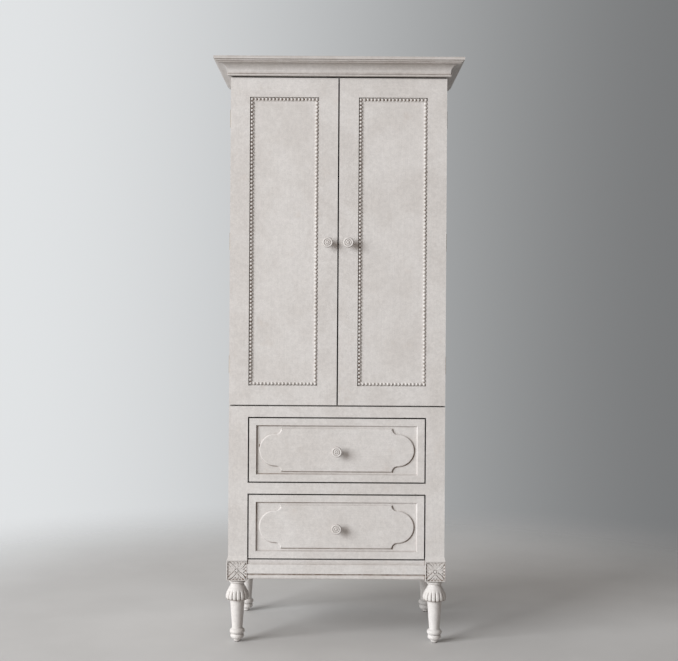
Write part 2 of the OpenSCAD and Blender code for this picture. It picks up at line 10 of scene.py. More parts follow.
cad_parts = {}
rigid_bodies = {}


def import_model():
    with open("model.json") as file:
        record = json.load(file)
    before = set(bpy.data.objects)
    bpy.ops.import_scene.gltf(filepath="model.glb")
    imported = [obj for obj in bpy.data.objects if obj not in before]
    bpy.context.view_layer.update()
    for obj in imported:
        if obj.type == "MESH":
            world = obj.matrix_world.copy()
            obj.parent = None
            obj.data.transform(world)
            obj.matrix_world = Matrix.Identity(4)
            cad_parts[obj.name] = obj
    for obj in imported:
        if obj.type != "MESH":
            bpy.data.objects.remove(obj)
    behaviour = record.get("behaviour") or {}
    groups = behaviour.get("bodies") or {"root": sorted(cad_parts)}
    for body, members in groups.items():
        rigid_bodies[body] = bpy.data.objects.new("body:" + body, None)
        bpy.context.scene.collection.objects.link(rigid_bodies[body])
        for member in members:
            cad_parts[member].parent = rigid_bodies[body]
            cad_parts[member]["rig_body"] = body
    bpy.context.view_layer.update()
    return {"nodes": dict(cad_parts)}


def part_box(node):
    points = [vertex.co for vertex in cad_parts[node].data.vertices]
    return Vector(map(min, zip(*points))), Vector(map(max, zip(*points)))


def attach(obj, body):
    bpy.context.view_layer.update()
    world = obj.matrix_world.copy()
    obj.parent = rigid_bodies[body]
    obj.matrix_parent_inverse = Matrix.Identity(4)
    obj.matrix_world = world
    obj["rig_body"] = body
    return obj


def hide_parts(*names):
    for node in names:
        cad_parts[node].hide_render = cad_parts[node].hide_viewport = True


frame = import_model()
MM = 0.001
SHARP = math.radians(30)

# ---------- reading the frame ----------


def islands(node):
    """Boxes of the separate solids in a CAD node, as pairs of corners, sorted by place."""
    bm = bmesh.new()
    bm.from_mesh(frame["nodes"][node].data)
    bmesh.ops.remove_doubles(bm, verts=bm.verts, dist=1e-6)
    bm.verts.index_update()
    seen = set()
    found = []
    for start in bm.verts:
        if start.index in seen:
            continue
        seen.add(start.index)
        stack = [start]
        points = []
        while stack:
            v = stack.pop()
            points.append(v.co[:])
            for e in v.link_edges:
                w = e.other_vert(v)
                if w.index not in seen:
                    seen.add(w.index)
                    stack.append(w)
        cloud = np.array(points)
        found.append((Vector(cloud.min(0)), Vector(cloud.max(0))))
    bm.free()
    key = lambda b: tuple(round(c, 4) for c in (*b[0], *b[1]))
    return sorted(found, key=key)


def sideways(lo, hi):
    """A box's side, 1 right or -1 left, and the distances of its two faces from the middle."""
    near_face, far_face = sorted((abs(lo.x), abs(hi.x)))
    return (1 if lo.x + hi.x > 0 else -1), near_face, far_face


def body_of(node):
    return frame["nodes"][node]["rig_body"]


# ---------- shader helpers ----------


def sweep(tree, value, low, high, out_low, out_high):
    """Smooth step from out_low at low to out_high at high."""
    node = tree.nodes.new("ShaderNodeMapRange")
    node.interpolation_type = "SMOOTHSTEP"
    for name, v in (("From Min", low), ("From Max", high), ("To Min", out_low), ("To Max", out_high)):
        node.inputs[name].default_value = v
    tree.links.new(value, node.inputs["Value"])
    return node.outputs[0]


class Shader:
    """Builds one node material."""

    def __init__(self, name):
        self.material = bpy.data.materials.new(name)
        self.material.use_nodes = True
        self.tree = self.material.node_tree
        self.tree.nodes.clear()
        self.output = self.tree.nodes.new("ShaderNodeOutputMaterial")
        self.bsdf = self.tree.nodes.new("ShaderNodeBsdfPrincipled")
        self.tree.links.new(self.bsdf.outputs[0], self.output.inputs[0])
        self.place = self.tree.nodes.new("ShaderNodeTexCoord").outputs["Object"]

    def feed(self, socket, value):
        if isinstance(value, bpy.types.NodeSocket):
            self.tree.links.new(value, socket)
        else:
            socket.default_value = value

    def set(self, name, value):
        self.feed(self.bsdf.inputs[name], value)

    def stretch(self, scale):
        """Object coordinates with a scale on each axis."""
        node = self.tree.nodes.new("ShaderNodeVectorMath")
        node.operation = "MULTIPLY"
        self.tree.links.new(self.place, node.inputs[0])
        node.inputs[1].default_value = scale
        return node.outputs[0]

    def noise(self, scale, detail=3.0, rough=0.5, vector=None, warp=0.0):
        node = self.tree.nodes.new("ShaderNodeTexNoise")
        self.tree.links.new(vector or self.place, node.inputs["Vector"])
        node.inputs["Scale"].default_value = scale
        node.inputs["Detail"].default_value = detail
        node.inputs["Roughness"].default_value = rough
        node.inputs["Distortion"].default_value = warp
        return node.outputs[0]

    def cells(self, scale):
        node = self.tree.nodes.new("ShaderNodeTexVoronoi")
        self.tree.links.new(self.place, node.inputs["Vector"])
        node.inputs["Scale"].default_value = scale
        return node.outputs["Distance"]

    def math(self, operation, a, b=0.0, clamp=False):
        node = self.tree.nodes.new("ShaderNodeMath")
        node.operation = operation
        node.use_clamp = clamp
        self.feed(node.inputs[0], a)
        self.feed(node.inputs[1], b)
        return node.outputs[0]

    def ramp(self, value, low, high, out_low=0.0, out_high=1.0):
        return sweep(self.tree, value, low, high, out_low, out_high)

    def mix(self, factor, a, b, blend="MIX"):
        node = self.tree.nodes.new("ShaderNodeMix")
        node.data_type = "RGBA"
        node.blend_type = blend
        self.feed(node.inputs[0], factor)
        self.feed(node.inputs[6], a)
        self.feed(node.inputs[7], b)
        return node.outputs[2]

    def tint(self, colour, amount):
        """Colour times a grey amount."""
        return self.mix(1.0, colour, amount, "MULTIPLY")

    def hollow(self, reach, inside=False):
        """Openness from 0, closed in, to 1, open, within reach."""
        node = self.tree.nodes.new("ShaderNodeAmbientOcclusion")
        node.samples = 8
        node.inside = inside
        node.only_local = inside
        node.inputs["Distance"].default_value = reach
        return node.outputs["AO"]

    def attribute(self, name):
        node = self.tree.nodes.new("ShaderNodeAttribute")
        node.attribute_name = name
        return node.outputs["Fac"]

    def bump(self, height, strength, distance):
        node = self.tree.nodes.new("ShaderNodeBump")
        node.inputs["Strength"].default_value = strength
        node.inputs["Distance"].default_value = distance
        self.tree.links.new(height, node.inputs["Height"])
        self.tree.links.new(node.outputs[0], self.bsdf.inputs["Normal"])


def rgb(r, g, b):
    return (r, g, b, 1.0)


PAINT_LIGHT = rgb(0.664, 0.637, 0.618)
PAINT_DARK = rgb(0.612, 0.581, 0.558)
# Brown of the glazing and specks, also used as painted shade in hollows, gaps and on sides away from the
# light.
GLAZE_AND_SHADE_BROWN = rgb(0.165, 0.108, 0.074)
BARE = rgb(0.115, 0.062, 0.038)
# Near-black painted shade for deep gaps and hollows.
SHADE_BLACK = rgb(0.022, 0.018, 0.015)


def along(axis, across, lengthwise):
    """Scale with the lengthwise value on one axis and the across value on the others."""
    return tuple(lengthwise if i == axis else across for i in range(3))


def antique_paint(axis, name="antique_paint_", pooled_and_shaded=0.84, wear=0.62):
    """Brushed warm grey-white paint, brown glazing in the hollows that is also painted shade there and in
    the gaps between parts, worn to brown on some edges, with painted near-black shade in deep gaps.
    pooled is how open a hollow may be and still take glazing and painted shade."""
    s = Shader(name + "xyz"[axis])
    cloud = s.noise(7.0, 6.0, 0.62, warp=0.4)
    colour = s.mix(s.ramp(cloud, 0.36, 0.64), PAINT_DARK, PAINT_LIGHT)
    streaks = s.noise(1.0, 5.0, 0.6, s.stretch(along(axis, 330.0, 9.0)))
    fine = s.noise(240.0, 3.0, 0.6)
    colour = s.tint(colour, s.ramp(streaks, 0.3, 0.7, 0.978, 1.018))
    colour = s.tint(colour, s.ramp(fine, 0.3, 0.7, 0.945, 1.045))
    colour = s.tint(colour, s.ramp(s.noise(75.0, 4.0, 0.6), 0.32, 0.68, 0.955, 1.035))

    stain_and_shade = s.noise(16.0, 5.0, 0.6)
    rub = s.math("MULTIPLY", s.ramp(stain_and_shade, 0.60, 0.78), 0.22)
    colour = s.mix(rub, colour, rgb(0.50, 0.42, 0.36))

    specks = s.ramp(s.cells(46.0), 0.035, 0.055, 1.0, 0.0)
    sparse = s.ramp(s.noise(9.0, 2.0), 0.60, 0.66)
    colour = s.mix(s.math("MULTIPLY", specks, s.math("MULTIPLY", sparse, 0.45)), colour, GLAZE_AND_SHADE_BROWN)

    # Glazing laid by occlusion from all objects: real glaze in the hollows, and painted shade in the gaps
    # between parts.
    closed = s.ramp(s.hollow(4.6 * MM), 0.22, pooled_and_shaded, 1.0, 0.0)
    patchy = s.ramp(s.noise(70.0, 3.0), 0.3, 0.7, 0.75, 1.1)
    brushed = s.ramp(s.noise(1.0, 4.0, 0.6, s.stretch(along(axis, 260.0, 14.0))), 0.32, 0.68, 0.75, 1.2)
    uneven = s.math("MULTIPLY", patchy, brushed)
    glaze_and_shade = s.math("MULTIPLY", s.math("MAXIMUM", closed, s.attribute("glaze_and_shade")), uneven)
    colour = s.mix(s.math("MULTIPLY", glaze_and_shade, 0.86, clamp=True), colour, GLAZE_AND_SHADE_BROWN)
    # Painted shade: near black deep in hollows and gaps, and where the per-vertex glazing and shade amount
    # is over 1.3.
    deep_shade = s.ramp(s.hollow(11.0 * MM), 0.12, 0.40, 0.97, 0.0)
    lined_shade = s.ramp(s.attribute("glaze_and_shade"), 1.3, 1.6, 0.0, 0.97)
    colour = s.mix(s.math("MAXIMUM", deep_shade, lined_shade), colour, SHADE_BLACK)

    edge = s.ramp(s.hollow(2.2 * MM, inside=True), 0.55, 0.90, 1.0, 0.0)
    rag = s.noise(150.0, 4.0, 0.7)
    where = s.noise(27.0, 2.0)
    worn = s.math("ADD", s.ramp(where, 0.60, 0.72, 0.0, wear), s.math("MULTIPLY", edge, 0.30))
    worn = s.math("ADD", worn, s.math("MULTIPLY", rag, 0.5))
    chip = s.math("MULTIPLY", s.ramp(worn, 1.02, 1.10), s.ramp(edge, 0.25, 0.6))
    colour = s.mix(chip, colour, BARE)

    s.set("Base Color", colour)
    s.set("Roughness", s.ramp(s.noise(40.0, 3.0), 0.3, 0.7, 0.50, 0.66))
    s.set("Specular IOR Level", 0.32)
    height = s.math("ADD", s.math("MULTIPLY", streaks, 0.7), s.math("MULTIPLY", fine, 0.4))
    s.bump(height, 0.35, 0.35 * MM)
    return s.material


def timber(name, axis, pale, dark, ring_scale, roughness):
    """Clear finished wood with its grain along an axis, with painted shade in its hollows."""
    s = Shader(name)
    warp = s.noise(2.2, 3.0, 0.5, s.stretch(along(axis, 1.0, 0.25)))
    rings = s.tree.nodes.new("ShaderNodeTexWave")
    rings.wave_type = "RINGS"
    rings.rings_direction = "XYZ"[axis]
    shifted = s.tree.nodes.new("ShaderNodeVectorMath")
    shifted.operation = "ADD"
    s.tree.links.new(s.stretch(along(axis, 1.0, 0.06)), shifted.inputs[0])
    lift = s.tree.nodes.new("ShaderNodeCombineXYZ")
    for socket in lift.inputs:
        s.tree.links.new(s.math("MULTIPLY", warp, 0.16), socket)
    s.tree.links.new(lift.outputs[0], shifted.inputs[1])
    s.tree.links.new(shifted.outputs[0], rings.inputs["Vector"])
    rings.inputs["Scale"].default_value = ring_scale
    rings.inputs["Distortion"].default_value = 1.6
    rings.inputs["Detail"].default_value = 2.0
    grain = s.noise(1.0, 4.0, 0.65, s.stretch(along(axis, 900.0, 14.0)))
    colour = s.mix(s.ramp(rings.outputs["Fac"], 0.1, 0.9), pale, dark)
    colour = s.tint(colour, s.ramp(grain, 0.25, 0.75, 0.86, 1.06))
    colour = s.tint(colour, s.ramp(s.noise(5.0, 3.0), 0.3, 0.7, 0.93, 1.05))
    # Painted shade: the wood darkened in hollows within 5 mm.
    closed = s.ramp(s.hollow(5.0 * MM), 0.35, 0.95, 0.62, 1.0)
    s.set("Base Color", s.tint(colour, closed))
    s.set("Roughness", s.ramp(grain, 0.3, 0.7, roughness - 0.06, roughness + 0.08))
    s.set("Specular IOR Level", 0.4)
    s.bump(grain, 0.25, 0.2 * MM)
    return s.material


def metal(name, colour, shade, roughness, axis, brushed):
    """Plated metal, brushed along an axis, dulled in patches, with painted shade in its hollows."""
    s = Shader(name)
    lines = s.noise(1.0, 3.0, 0.6, s.stretch(along(axis, 1500.0, 30.0)))
    patch = s.noise(26.0, 4.0, 0.6)
    base = s.mix(s.ramp(patch, 0.35, 0.7), colour, shade)
    # Painted shade: darker in hollows within 3 mm.
    base = s.tint(base, s.ramp(s.hollow(3.0 * MM), 0.3, 0.9, 0.55, 1.0))
    s.set("Base Color", base)
    s.set("Metallic", 1.0)
    rough = s.ramp(lines, 0.3, 0.7, roughness - brushed, roughness + brushed)
    s.set("Roughness", s.math("ADD", rough, s.ramp(patch, 0.4, 0.7, 0.0, 0.08)))
    s.bump(lines, 0.2 * brushed / 0.1, 0.08 * MM)
    return s.material


def plastic(name, colour):
    s = Shader(name)
    grit = s.noise(700.0, 2.0)
    s.set("Base Color", s.tint(colour, s.ramp(s.noise(30.0, 3.0), 0.3, 0.7, 0.9, 1.08)))
    s.set("Roughness", s.ramp(grit, 0.3, 0.7, 0.42, 0.55))
    s.bump(grit, 0.3, 0.1 * MM)
    return s.material


X, Y, Z = 0, 1, 2
PAINT = {axis: antique_paint(axis) for axis in (X, Y, Z)}
DOOR_PAINT = {axis: antique_paint(axis, "door_paint_", 0.56) for axis in (X, Z)}
BEAD_PAINT = antique_paint(Z, "bead_paint_", 0.60, 0.0)
CARVED_PAINT = antique_paint(Z, "carved_paint_", 0.52, 0.0)
BIRCH_PALE = rgb(0.66, 0.49, 0.32)
BIRCH_DARK = rgb(0.58, 0.42, 0.26)
BIRCH = {axis: timber("birch_" + "xyz"[axis], axis, BIRCH_PALE, BIRCH_DARK, 26.0, 0.42) for axis in (X, Y)}
PLY = timber("plywood", Z, rgb(0.57, 0.43, 0.29), rgb(0.50, 0.36, 0.23), 17.0, 0.60)
STEEL = metal("zinc_steel", rgb(0.60, 0.61, 0.63), rgb(0.44, 0.45, 0.47), 0.34, Y, 0.08)
CHROME = metal("chrome", rgb(0.80, 0.80, 0.81), rgb(0.72, 0.72, 0.74), 0.12, X, 0.03)
BRASS = metal("aged_brass", rgb(0.42, 0.31, 0.16), rgb(0.20, 0.14, 0.08), 0.42, Z, 0.07)
PLASTIC = plastic("catch_plastic", rgb(0.26, 0.19, 0.13))

# ---------- mesh helpers ----------


def finish_mesh(bm, name, materials, smooth=True):
    """Turns a bmesh into a mesh with outward faces."""
    bmesh.ops.recalc_face_normals(bm, faces=bm.faces)
    mesh = bpy.data.meshes.new(name)
    bm.to_mesh(mesh)
    bm.free()
    for layer in ("custom_normal", "sharp_face"):
        if layer in mesh.attributes:
            mesh.attributes.remove(mesh.attributes[layer])
    for m in materials:
        mesh.materials.append(m)
    if smooth:
        mesh.shade_smooth()
        mesh.set_sharp_from_angle(angle=math.radians(42))
    return mesh


def weigh(piece):
    mod = piece.modifiers.new("flats", "WEIGHTED_NORMAL")
    mod.keep_sharp = True


def place(mesh, name, body, nodes, weighted=True):
    """Makes the piece, rides it on its body and hides the CAD nodes it stands for."""
    piece = bpy.data.objects.new(name, mesh)
    bpy.context.scene.collection.objects.link(piece)
    if weighted:
        weigh(piece)
    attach(piece, body)
    if nodes:
        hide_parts(*nodes)
    return piece


def mesh_copy(nodes):
    """One bmesh with the CAD meshes of several nodes, flat faces merged."""
    bm = bmesh.new()
    for node in nodes:
        bm.from_mesh(frame["nodes"][node].data)
    bmesh.ops.remove_doubles(bm, verts=bm.verts, dist=1e-6)
    bmesh.ops.dissolve_limit(bm, angle_limit=math.radians(0.8), verts=bm.verts, edges=bm.edges)
    return bm


def ease(bm, width, allowed=None, segments=2):
    """Rounds the sharp edges that are long enough to take it."""
    edges = []
    for e in bm.edges:
        if len(e.link_faces) != 2 or e.calc_face_angle(0.0) < SHARP:
            continue
        if e.calc_length() < 5 * width:
            continue
        if allowed is None or allowed(e):
            edges.append(e)
    bmesh.ops.bevel(
        bm, geom=edges, offset=width, offset_type="OFFSET", segments=segments, profile=0.5,
        affect="EDGES", clamp_overlap=False, material=-1,
    )


def eased(node, name, material, width=1.0 * MM, allowed=None):
    """The CAD node's own shape with softened edges."""
    bm = mesh_copy([node])
    ease(bm, width, allowed)
    mesh = finish_mesh(bm, name, [material])
    return place(mesh, name, body_of(node), [node])


def cut(bm, axis, value):
    """Cuts the faces by the plane where a coordinate has a value."""
    geom = list(bm.verts) + list(bm.edges) + list(bm.faces)
    bmesh.ops.bisect_plane(bm, geom=geom, plane_co=along(axis, 0.0, value), plane_no=along(axis, 0.0, 1.0))


# Painted shade in a band on the walls of the gaps round doors and drawers.
GAP_SHADE_DEPTH = 2.6 * MM
GAP_SHADE = 1.8


# Per-vertex amount of brown glazing and painted shade; values over 1.3 paint near-black shade.
def glaze_and_shade_layer(bm):
    return bm.verts.layers.float.get("glaze_and_shade") or bm.verts.layers.float.new("glaze_and_shade")


def shade_gap(bm, face_y, in_gap):
    """Painted near-black shade just inside the edges round a gap, where in_gap says that a point lies in
    its wall.
    """
    cut(bm, Y, face_y + GAP_SHADE_DEPTH)
    layer = glaze_and_shade_layer(bm)
    for v in bm.verts:
        depth = v.co.y - face_y
        if 0.15 * MM < depth < GAP_SHADE_DEPTH - 0.1 * MM and in_gap(v.co):
            v[layer] = GAP_SHADE


def near(value, *targets):
    return any(abs(value - t) < 0.02 * MM for t in targets)


def stain_and_shade(piece, base, steps, share):
    """Lays brown glazing and painted shade on a moulding by height in mm above base: steps are [height,
    amount of glazing and shade].
    """
    layer = piece.data.attributes.new("glaze_and_shade", "FLOAT", "POINT")
    heights = [base + h * MM for h, g in steps]
    values = [g * share for h, g in steps]
    for v in piece.data.vertices:
        layer.data[v.index].value = float(np.interp(v.co.z, heights, values))


def fret(bm, us, vs, cells, y0, y1, middle_slot=0):
    """Adds an upright board pierced with holes: the filled cells of a grid, between two planes.
    The cells in the second column take middle_slot as their material."""
    corner = {}

    def vert(i, j, k):
        if (i, j, k) not in corner:
            corner[(i, j, k)] = bm.verts.new((us[i], (y0, y1)[k], vs[j]))
        return corner[(i, j, k)]

    for i, j in cells:
        slot = middle_slot if i == 1 else 0
        for k in (0, 1):
            f = bm.faces.new([vert(i, j, k), vert(i + 1, j, k), vert(i + 1, j + 1, k), vert(i, j + 1, k)])
            f.material_index = slot
        sides = (((i, j), (i + 1, j), (i, j - 1)), ((i, j + 1), (i + 1, j + 1), (i, j + 1)))
        sides += (((i, j), (i, j + 1), (i - 1, j)), ((i + 1, j), (i + 1, j + 1), (i + 1, j)))
        for a, b, beyond in sides:
            if beyond not in cells:
                f = bm.faces.new([vert(*a, 0), vert(*b, 0), vert(*b, 1), vert(*a, 1)])
                f.material_index = slot


def all_cells(columns, rows, holes=()):
    return {(i, j) for i in range(columns) for j in range(rows) if (i, j) not in holes}


def grid_faces(rows, columns, closed=True):
    """Quads of a rows by columns grid of vertices, the columns running round if closed."""
    faces = []
    for j in range(rows - 1):
        for i in range(columns if closed else columns - 1):
            n = (i + 1) % columns
            faces.append((j * columns + i, j * columns + n, (j + 1) * columns + n, (j + 1) * columns + i))
    return faces


def circle(segments):
    turns = [2 * math.pi * i / segments for i in range(segments)]
    return [(math.cos(a), math.sin(a)) for a in turns]


def spun_faces(rows, segments):
    """Faces over rings of points, with one point on the axis before them and one after."""
    faces = [tuple(v + 1 for v in f) for f in grid_faces(rows, segments)]
    top = 1 + (rows - 1) * segments
    last = top + segments
    for i in range(segments):
        n = (i + 1) % segments
        faces.append((0, 1 + n, 1 + i))
        faces.append((last, top + i, top + n))
    return faces


def add_shape(bm, points, faces, glaze_and_shade=None):
    """Adds raw vertices and faces, with a value of the glazing and painted shade layer on each vertex."""
    layer = glaze_and_shade_layer(bm)
    verts = [bm.verts.new(p) for p in points]
    if glaze_and_shade is not None:
        for v, g in zip(verts, glaze_and_shade):
            v[layer] = float(g)
    for f in faces:
        bm.faces.new([verts[i] for i in f])


def arc(centre, r, a0, a1, steps=8):
    """Points on an arc, the angles in degrees."""
    turns = [math.radians(a0 + (a1 - a0) * i / steps) for i in range(steps + 1)]
    return [(centre[0] + r * math.cos(a), centre[1] + r * math.sin(a)) for a in turns]


def turned(bm, outline, place_at, segments=64, glaze_and_shade=None):
    """Adds a turned solid. outline is [radius, height] in metres, from axis to axis."""
    inner = outline[1:-1]
    points = [place_at(0.0, 0.0, outline[0][1])]
    for r, h in inner:
        points += [place_at(r * c, r * s, h) for c, s in circle(segments)]
    points.append(place_at(0.0, 0.0, outline[-1][1]))
    shades = None
    if glaze_and_shade is not None:
        shades = [glaze_and_shade[0]] + [g for g in glaze_and_shade[1:-1] for _ in range(segments)] + [glaze_and_shade[-1]]
    add_shape(bm, points, spun_faces(len(inner), segments), shades)


# ---------- case ----------

FACE_NODES = ["stile_left", "stile_right", "upper_rail", "middle_rail"]


def face_frame():
    """Front frame of the drawer section: two stiles and two rails in one plane."""
    left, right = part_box("stile_left"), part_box("stile_right")
    upper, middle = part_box("upper_rail"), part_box("middle_rail")
    us = [left[0].x, left[1].x, right[0].x, right[1].x]
    vs = [left[0].z, middle[0].z, middle[1].z, upper[0].z, upper[1].z]
    cells = all_cells(3, 4, holes=((1, 0), (1, 2)))
    bm = bmesh.new()
    fret(bm, us, vs, cells, left[0].y, left[1].y, middle_slot=1)
    ease(bm, 0.7 * MM)
    holes = ((middle[0].z, left[0].z), (middle[1].z, upper[0].z))
    walls = [z for pair in holes for z in pair] + [upper[1].z]
    # Painted shade on the walls of the gaps.
    shade_gap(bm, left[0].y, lambda p: near(p.x, us[1], us[2]) or near(p.z, *walls))
    mesh = finish_mesh(bm, "face_frame", [PAINT[Z], PAINT[X]])
    place(mesh, "face_frame", "case", FACE_NODES)


def off_mitre(e):
    """True for an edge that doesn't lie in a mitre of the cornice."""
    lo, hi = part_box("cornice_front")
    reach = hi.x + lo.y
    return not all(abs(abs(v.co.x) + v.co.y - reach) < 2e-5 for v in e.verts)


END_BAND = 3.0 * MM
# Painted shade at the apron's ends, where they meet the leg blocks.
END_SHADE = 1.5
APRON_FLAT = (18.5 * MM, 50.5 * MM)


def span(piece, axis):
    along_it = [v.co[axis] for v in piece.data.vertices]
    return min(along_it), max(along_it)


def band_ends(piece, axis):
    """Cuts a narrow band at each end of a moulding, so that painted shade can lie there."""
    lo, hi = span(piece, axis)
    bm = bmesh.new()
    bm.from_mesh(piece.data)
    for value in (lo + END_BAND, hi - END_BAND):
        cut(bm, axis, value)
    bm.to_mesh(piece.data)
    bm.free()


def shade_ends(piece, axis):
    """Lays painted near-black shade on the end bands of an apron, but not on its flat."""
    lo, hi = span(piece, axis)
    layer = piece.data.attributes["glaze_and_shade"]
    for v in piece.data.vertices:
        on_flat = APRON_FLAT[0] < v.co.z - APRON_BASE < APRON_FLAT[1]
        if min(v.co[axis] - lo, hi - v.co[axis]) < END_BAND / 2 and not on_flat:
            layer.data[v.index].value = END_SHADE


CORNICE_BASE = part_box("cornice_front")[0].z
# Glazing and painted shade up the cornice by height in mm: heaviest in the grooves, at the top of the cove
# where shade falls, and along the top edge.
CORNICE_GLAZE_AND_SHADE = (
    (0, 0.20), (1.5, 0.14), (4.5, 0.10), (6.2, 0.70), (7.8, 0.50), (10, 0.10), (24, 0.03), (34, 0.06),
    (39, 0.22), (40.5, 0.60), (43.5, 0.24), (46, 0.12), (48.5, 0.28), (50.5, 0.12), (56, 0.24), (60, 0.40),
)
# The returns take only a small share, as they face the light and stay pale.
RETURN_SHADE_SHARE = 0.15
APRON_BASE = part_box("apron_front")[0].z
# Glazing and painted shade up the apron moulding by height in mm, darkest in its groove line.
APRON_GLAZE_AND_SHADE = (
    (0, 0.35), (3, 0.10), (9, 0.05), (13, 0.35), (15, 1.0), (18, 1.0), (18.6, 0.1), (19.2, 0),
    (49.5, 0), (50.2, 0.25), (51.5, 0.30), (53, 0), (67, 0),
)


CASE_BOARDS = (
    ("side_stiles", "board", PAINT[Z], 0.8, True), ("side_rails", "board", PAINT[Y], 0.5, False),
    ("side_panels", "board", PAINT[Z], 0.5, False), ("back_panel", "sheet", PLY, 0.5, False),
    ("back_rails", "board", PAINT[X], 0.8, True), ("top_board", "panel", PAINT[X], 0.6, False),
    ("cabinet_floor", "board", PAINT[X], 0.6, False), ("base_board", "panel", PAINT[X], 0.6, False),
    ("hat_shelf", "board", PAINT[X], 1.2, False),
)


def case_boards():
    """Boards and mouldings of the case. The table gives the rounding in mm, and whether it is
    kept to the corners of each board."""
    for node, ending, material, width, corners in CASE_BOARDS:
        allowed = outer_edge(node) if corners else None
        eased(node, node + "_" + ending, material, width * MM, allowed)
    eased("cornice_top", "cornice_dust_board", PAINT[X], 0.6 * MM)
    front = eased("apron_front", "apron_front_moulding", PAINT[X], 0.5 * MM)
    sides = eased("side_aprons", "side_apron_mouldings", PAINT[Y], 0.5 * MM)
    for piece, axis in ((front, X), (sides, Y)):
        band_ends(piece, axis)
        stain_and_shade(piece, APRON_BASE, APRON_GLAZE_AND_SHADE, 1.0)
        shade_ends(piece, axis)
    eased("slide_packers", "slide_packer_battens", BIRCH[Y], 1.0 * MM)
    for side, axis in (("front", X), ("left", Y), ("right", Y)):
        name = "cornice_" + side
        piece = eased(name, name + "_moulding", PAINT[axis], 0.45 * MM, off_mitre)
        stain_and_shade(piece, CORNICE_BASE, CORNICE_GLAZE_AND_SHADE, 1.0 if side == "front" else RETURN_SHADE_SHARE)


def outer_edge(node):
    """Tests for edges along the corners of each solid's own box."""
    boxes = islands(node)

    def test(e):
        mid = (e.verts[0].co + e.verts[1].co) / 2
        for lo, hi in boxes:
            inside = all(lo[k] - 1e-5 <= mid[k] <= hi[k] + 1e-5 for k in range(3))
            if inside:
                axis = max(range(3), key=lambda k: abs(e.verts[0].co[k] - e.verts[1].co[k]))
                others = [k for k in range(3) if k != axis]
                return all(min(abs(mid[k] - lo[k]), abs(mid[k] - hi[k])) < 1e-5 for k in others)
        return False

    return test


# ---------- doors ----------


def door_frame(side):
    """The stiles and rails of a door as one painted frame, hinges let in."""
    stiles, rails = "door_%s_stiles" % side, "door_%s_rails" % side
    lo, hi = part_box(stiles)
    rail_lo, rail_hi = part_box(rails)
    rail_h = islands(rails)[0][1].z - islands(rails)[0][0].z
    us = [lo.x, rail_lo.x, rail_hi.x, hi.x]
    vs = [lo.z, lo.z + rail_h, hi.z - rail_h, hi.z]
    cells = all_cells(3, 3, holes=((1, 1),))
    bm = bmesh.new()
    fret(bm, us, vs, cells, lo.y, hi.y, middle_slot=1)
    ease(bm, 0.7 * MM)
    inner_edge = min((lo.x, hi.x), key=abs)
    # Painted shade on the walls of the gaps.
    shade_gap(bm, lo.y, lambda p: near(p.x, inner_edge) or near(p.z, lo.z))
    name = "door_%s_frame" % side
    mesh = finish_mesh(bm, name, [DOOR_PAINT[Z], DOOR_PAINT[X]])
    piece = place(mesh, name, body_of(stiles), [stiles, rails], weighted=False)
    let_in(piece, "door_%s_hinge_leaves" % side)


LEAF_T = 1.2 * MM
KNUCKLE_R = 2.75 * MM
BED_PAD = 0.05 * MM
BARREL_PAD = 0.3 * MM


def let_in(piece, leaves):
    """Cuts the beds of the hinge leaves, and then of their barrels, out of the back of a door."""
    beds, barrels = bmesh.new(), bmesh.new()
    for lo, hi in islands(leaves):
        sign, inner, outer = sideways(lo, hi)
        back = (lo.y + hi.y) / 2
        us = [sign * (inner - BED_PAD), sign * outer]
        vs = [lo.z - BED_PAD, hi.z + BED_PAD]
        fret(beds, us, vs, {(0, 0)}, back - LEAF_T - 0.5 * MM, back + MM)
        ends = [lo.z - 2 * MM, hi.z + 2 * MM]
        axis = Vector((sign * (outer - KNUCKLE_R), back, 0.0))
        rim = arc(axis, KNUCKLE_R + BARREL_PAD, 0, 360 * 23 / 24, 23)
        points = [(x, y, z) for z in ends for x, y in rim]
        caps = [tuple(range(24)), tuple(range(24, 48))]
        add_shape(barrels, points, grid_faces(2, 24) + caps)
    carve_out(piece, beds)
    carve_out(piece, barrels)
    weigh(piece)


def carve_out(piece, bm):
    """Subtracts a closed shape from a piece."""
    cutter = bpy.data.objects.new("cutter", finish_mesh(bm, "cutter", [], smooth=False))
    bpy.context.scene.collection.objects.link(cutter)
    mod = piece.modifiers.new("beds", "BOOLEAN")
    mod.operation = "DIFFERENCE"
    mod.solver = "EXACT"
    mod.object = cutter
    bake(piece)
    bpy.data.objects.remove(cutter)


def bake(piece):
    """Applies the piece's modifiers to its mesh."""
    graph = bpy.context.evaluated_depsgraph_get()
    mesh = bpy.data.meshes.new_from_object(piece.evaluated_get(graph), depsgraph=graph)
    piece.modifiers.clear()
    piece.data = mesh


def door_panel(side):
    node = "door_%s_panel" % side
    eased(node, "door_%s_inset" % side, DOOR_PAINT[Z], 0.5 * MM)


BEAD_STEPS_X = 18
BEAD_STEPS_Z = 76
STRIP_W = 14 * MM
STRIP_T = 1.0 * MM
STRIP_SINK = 0.4 * MM
BEAD_JITTER = 0.2 * MM
BEAD_R = 5.5 * MM
LINK_R = 3.3 * MM
LINK_T = 2.8 * MM


def bead_shape(columns=14, rows=6):
    """Unit half bead facing -Y, as points and faces."""
    points = []
    for j in range(rows):
        a = math.radians(90.0 * j / rows - 8.0)
        for i in range(columns):
            t = 2 * math.pi * i / columns
            points.append((math.cos(a) * math.cos(t), -math.sin(a), math.cos(a) * math.sin(t)))
    points.append((0.0, -1.0, 0.0))
    faces = grid_faces(rows, columns)
    top = (rows - 1) * columns
    faces += [(top + i, top + (i + 1) % columns, rows * columns) for i in range(columns)]
    faces.append(tuple(reversed(range(columns))))
    return np.array(points), faces


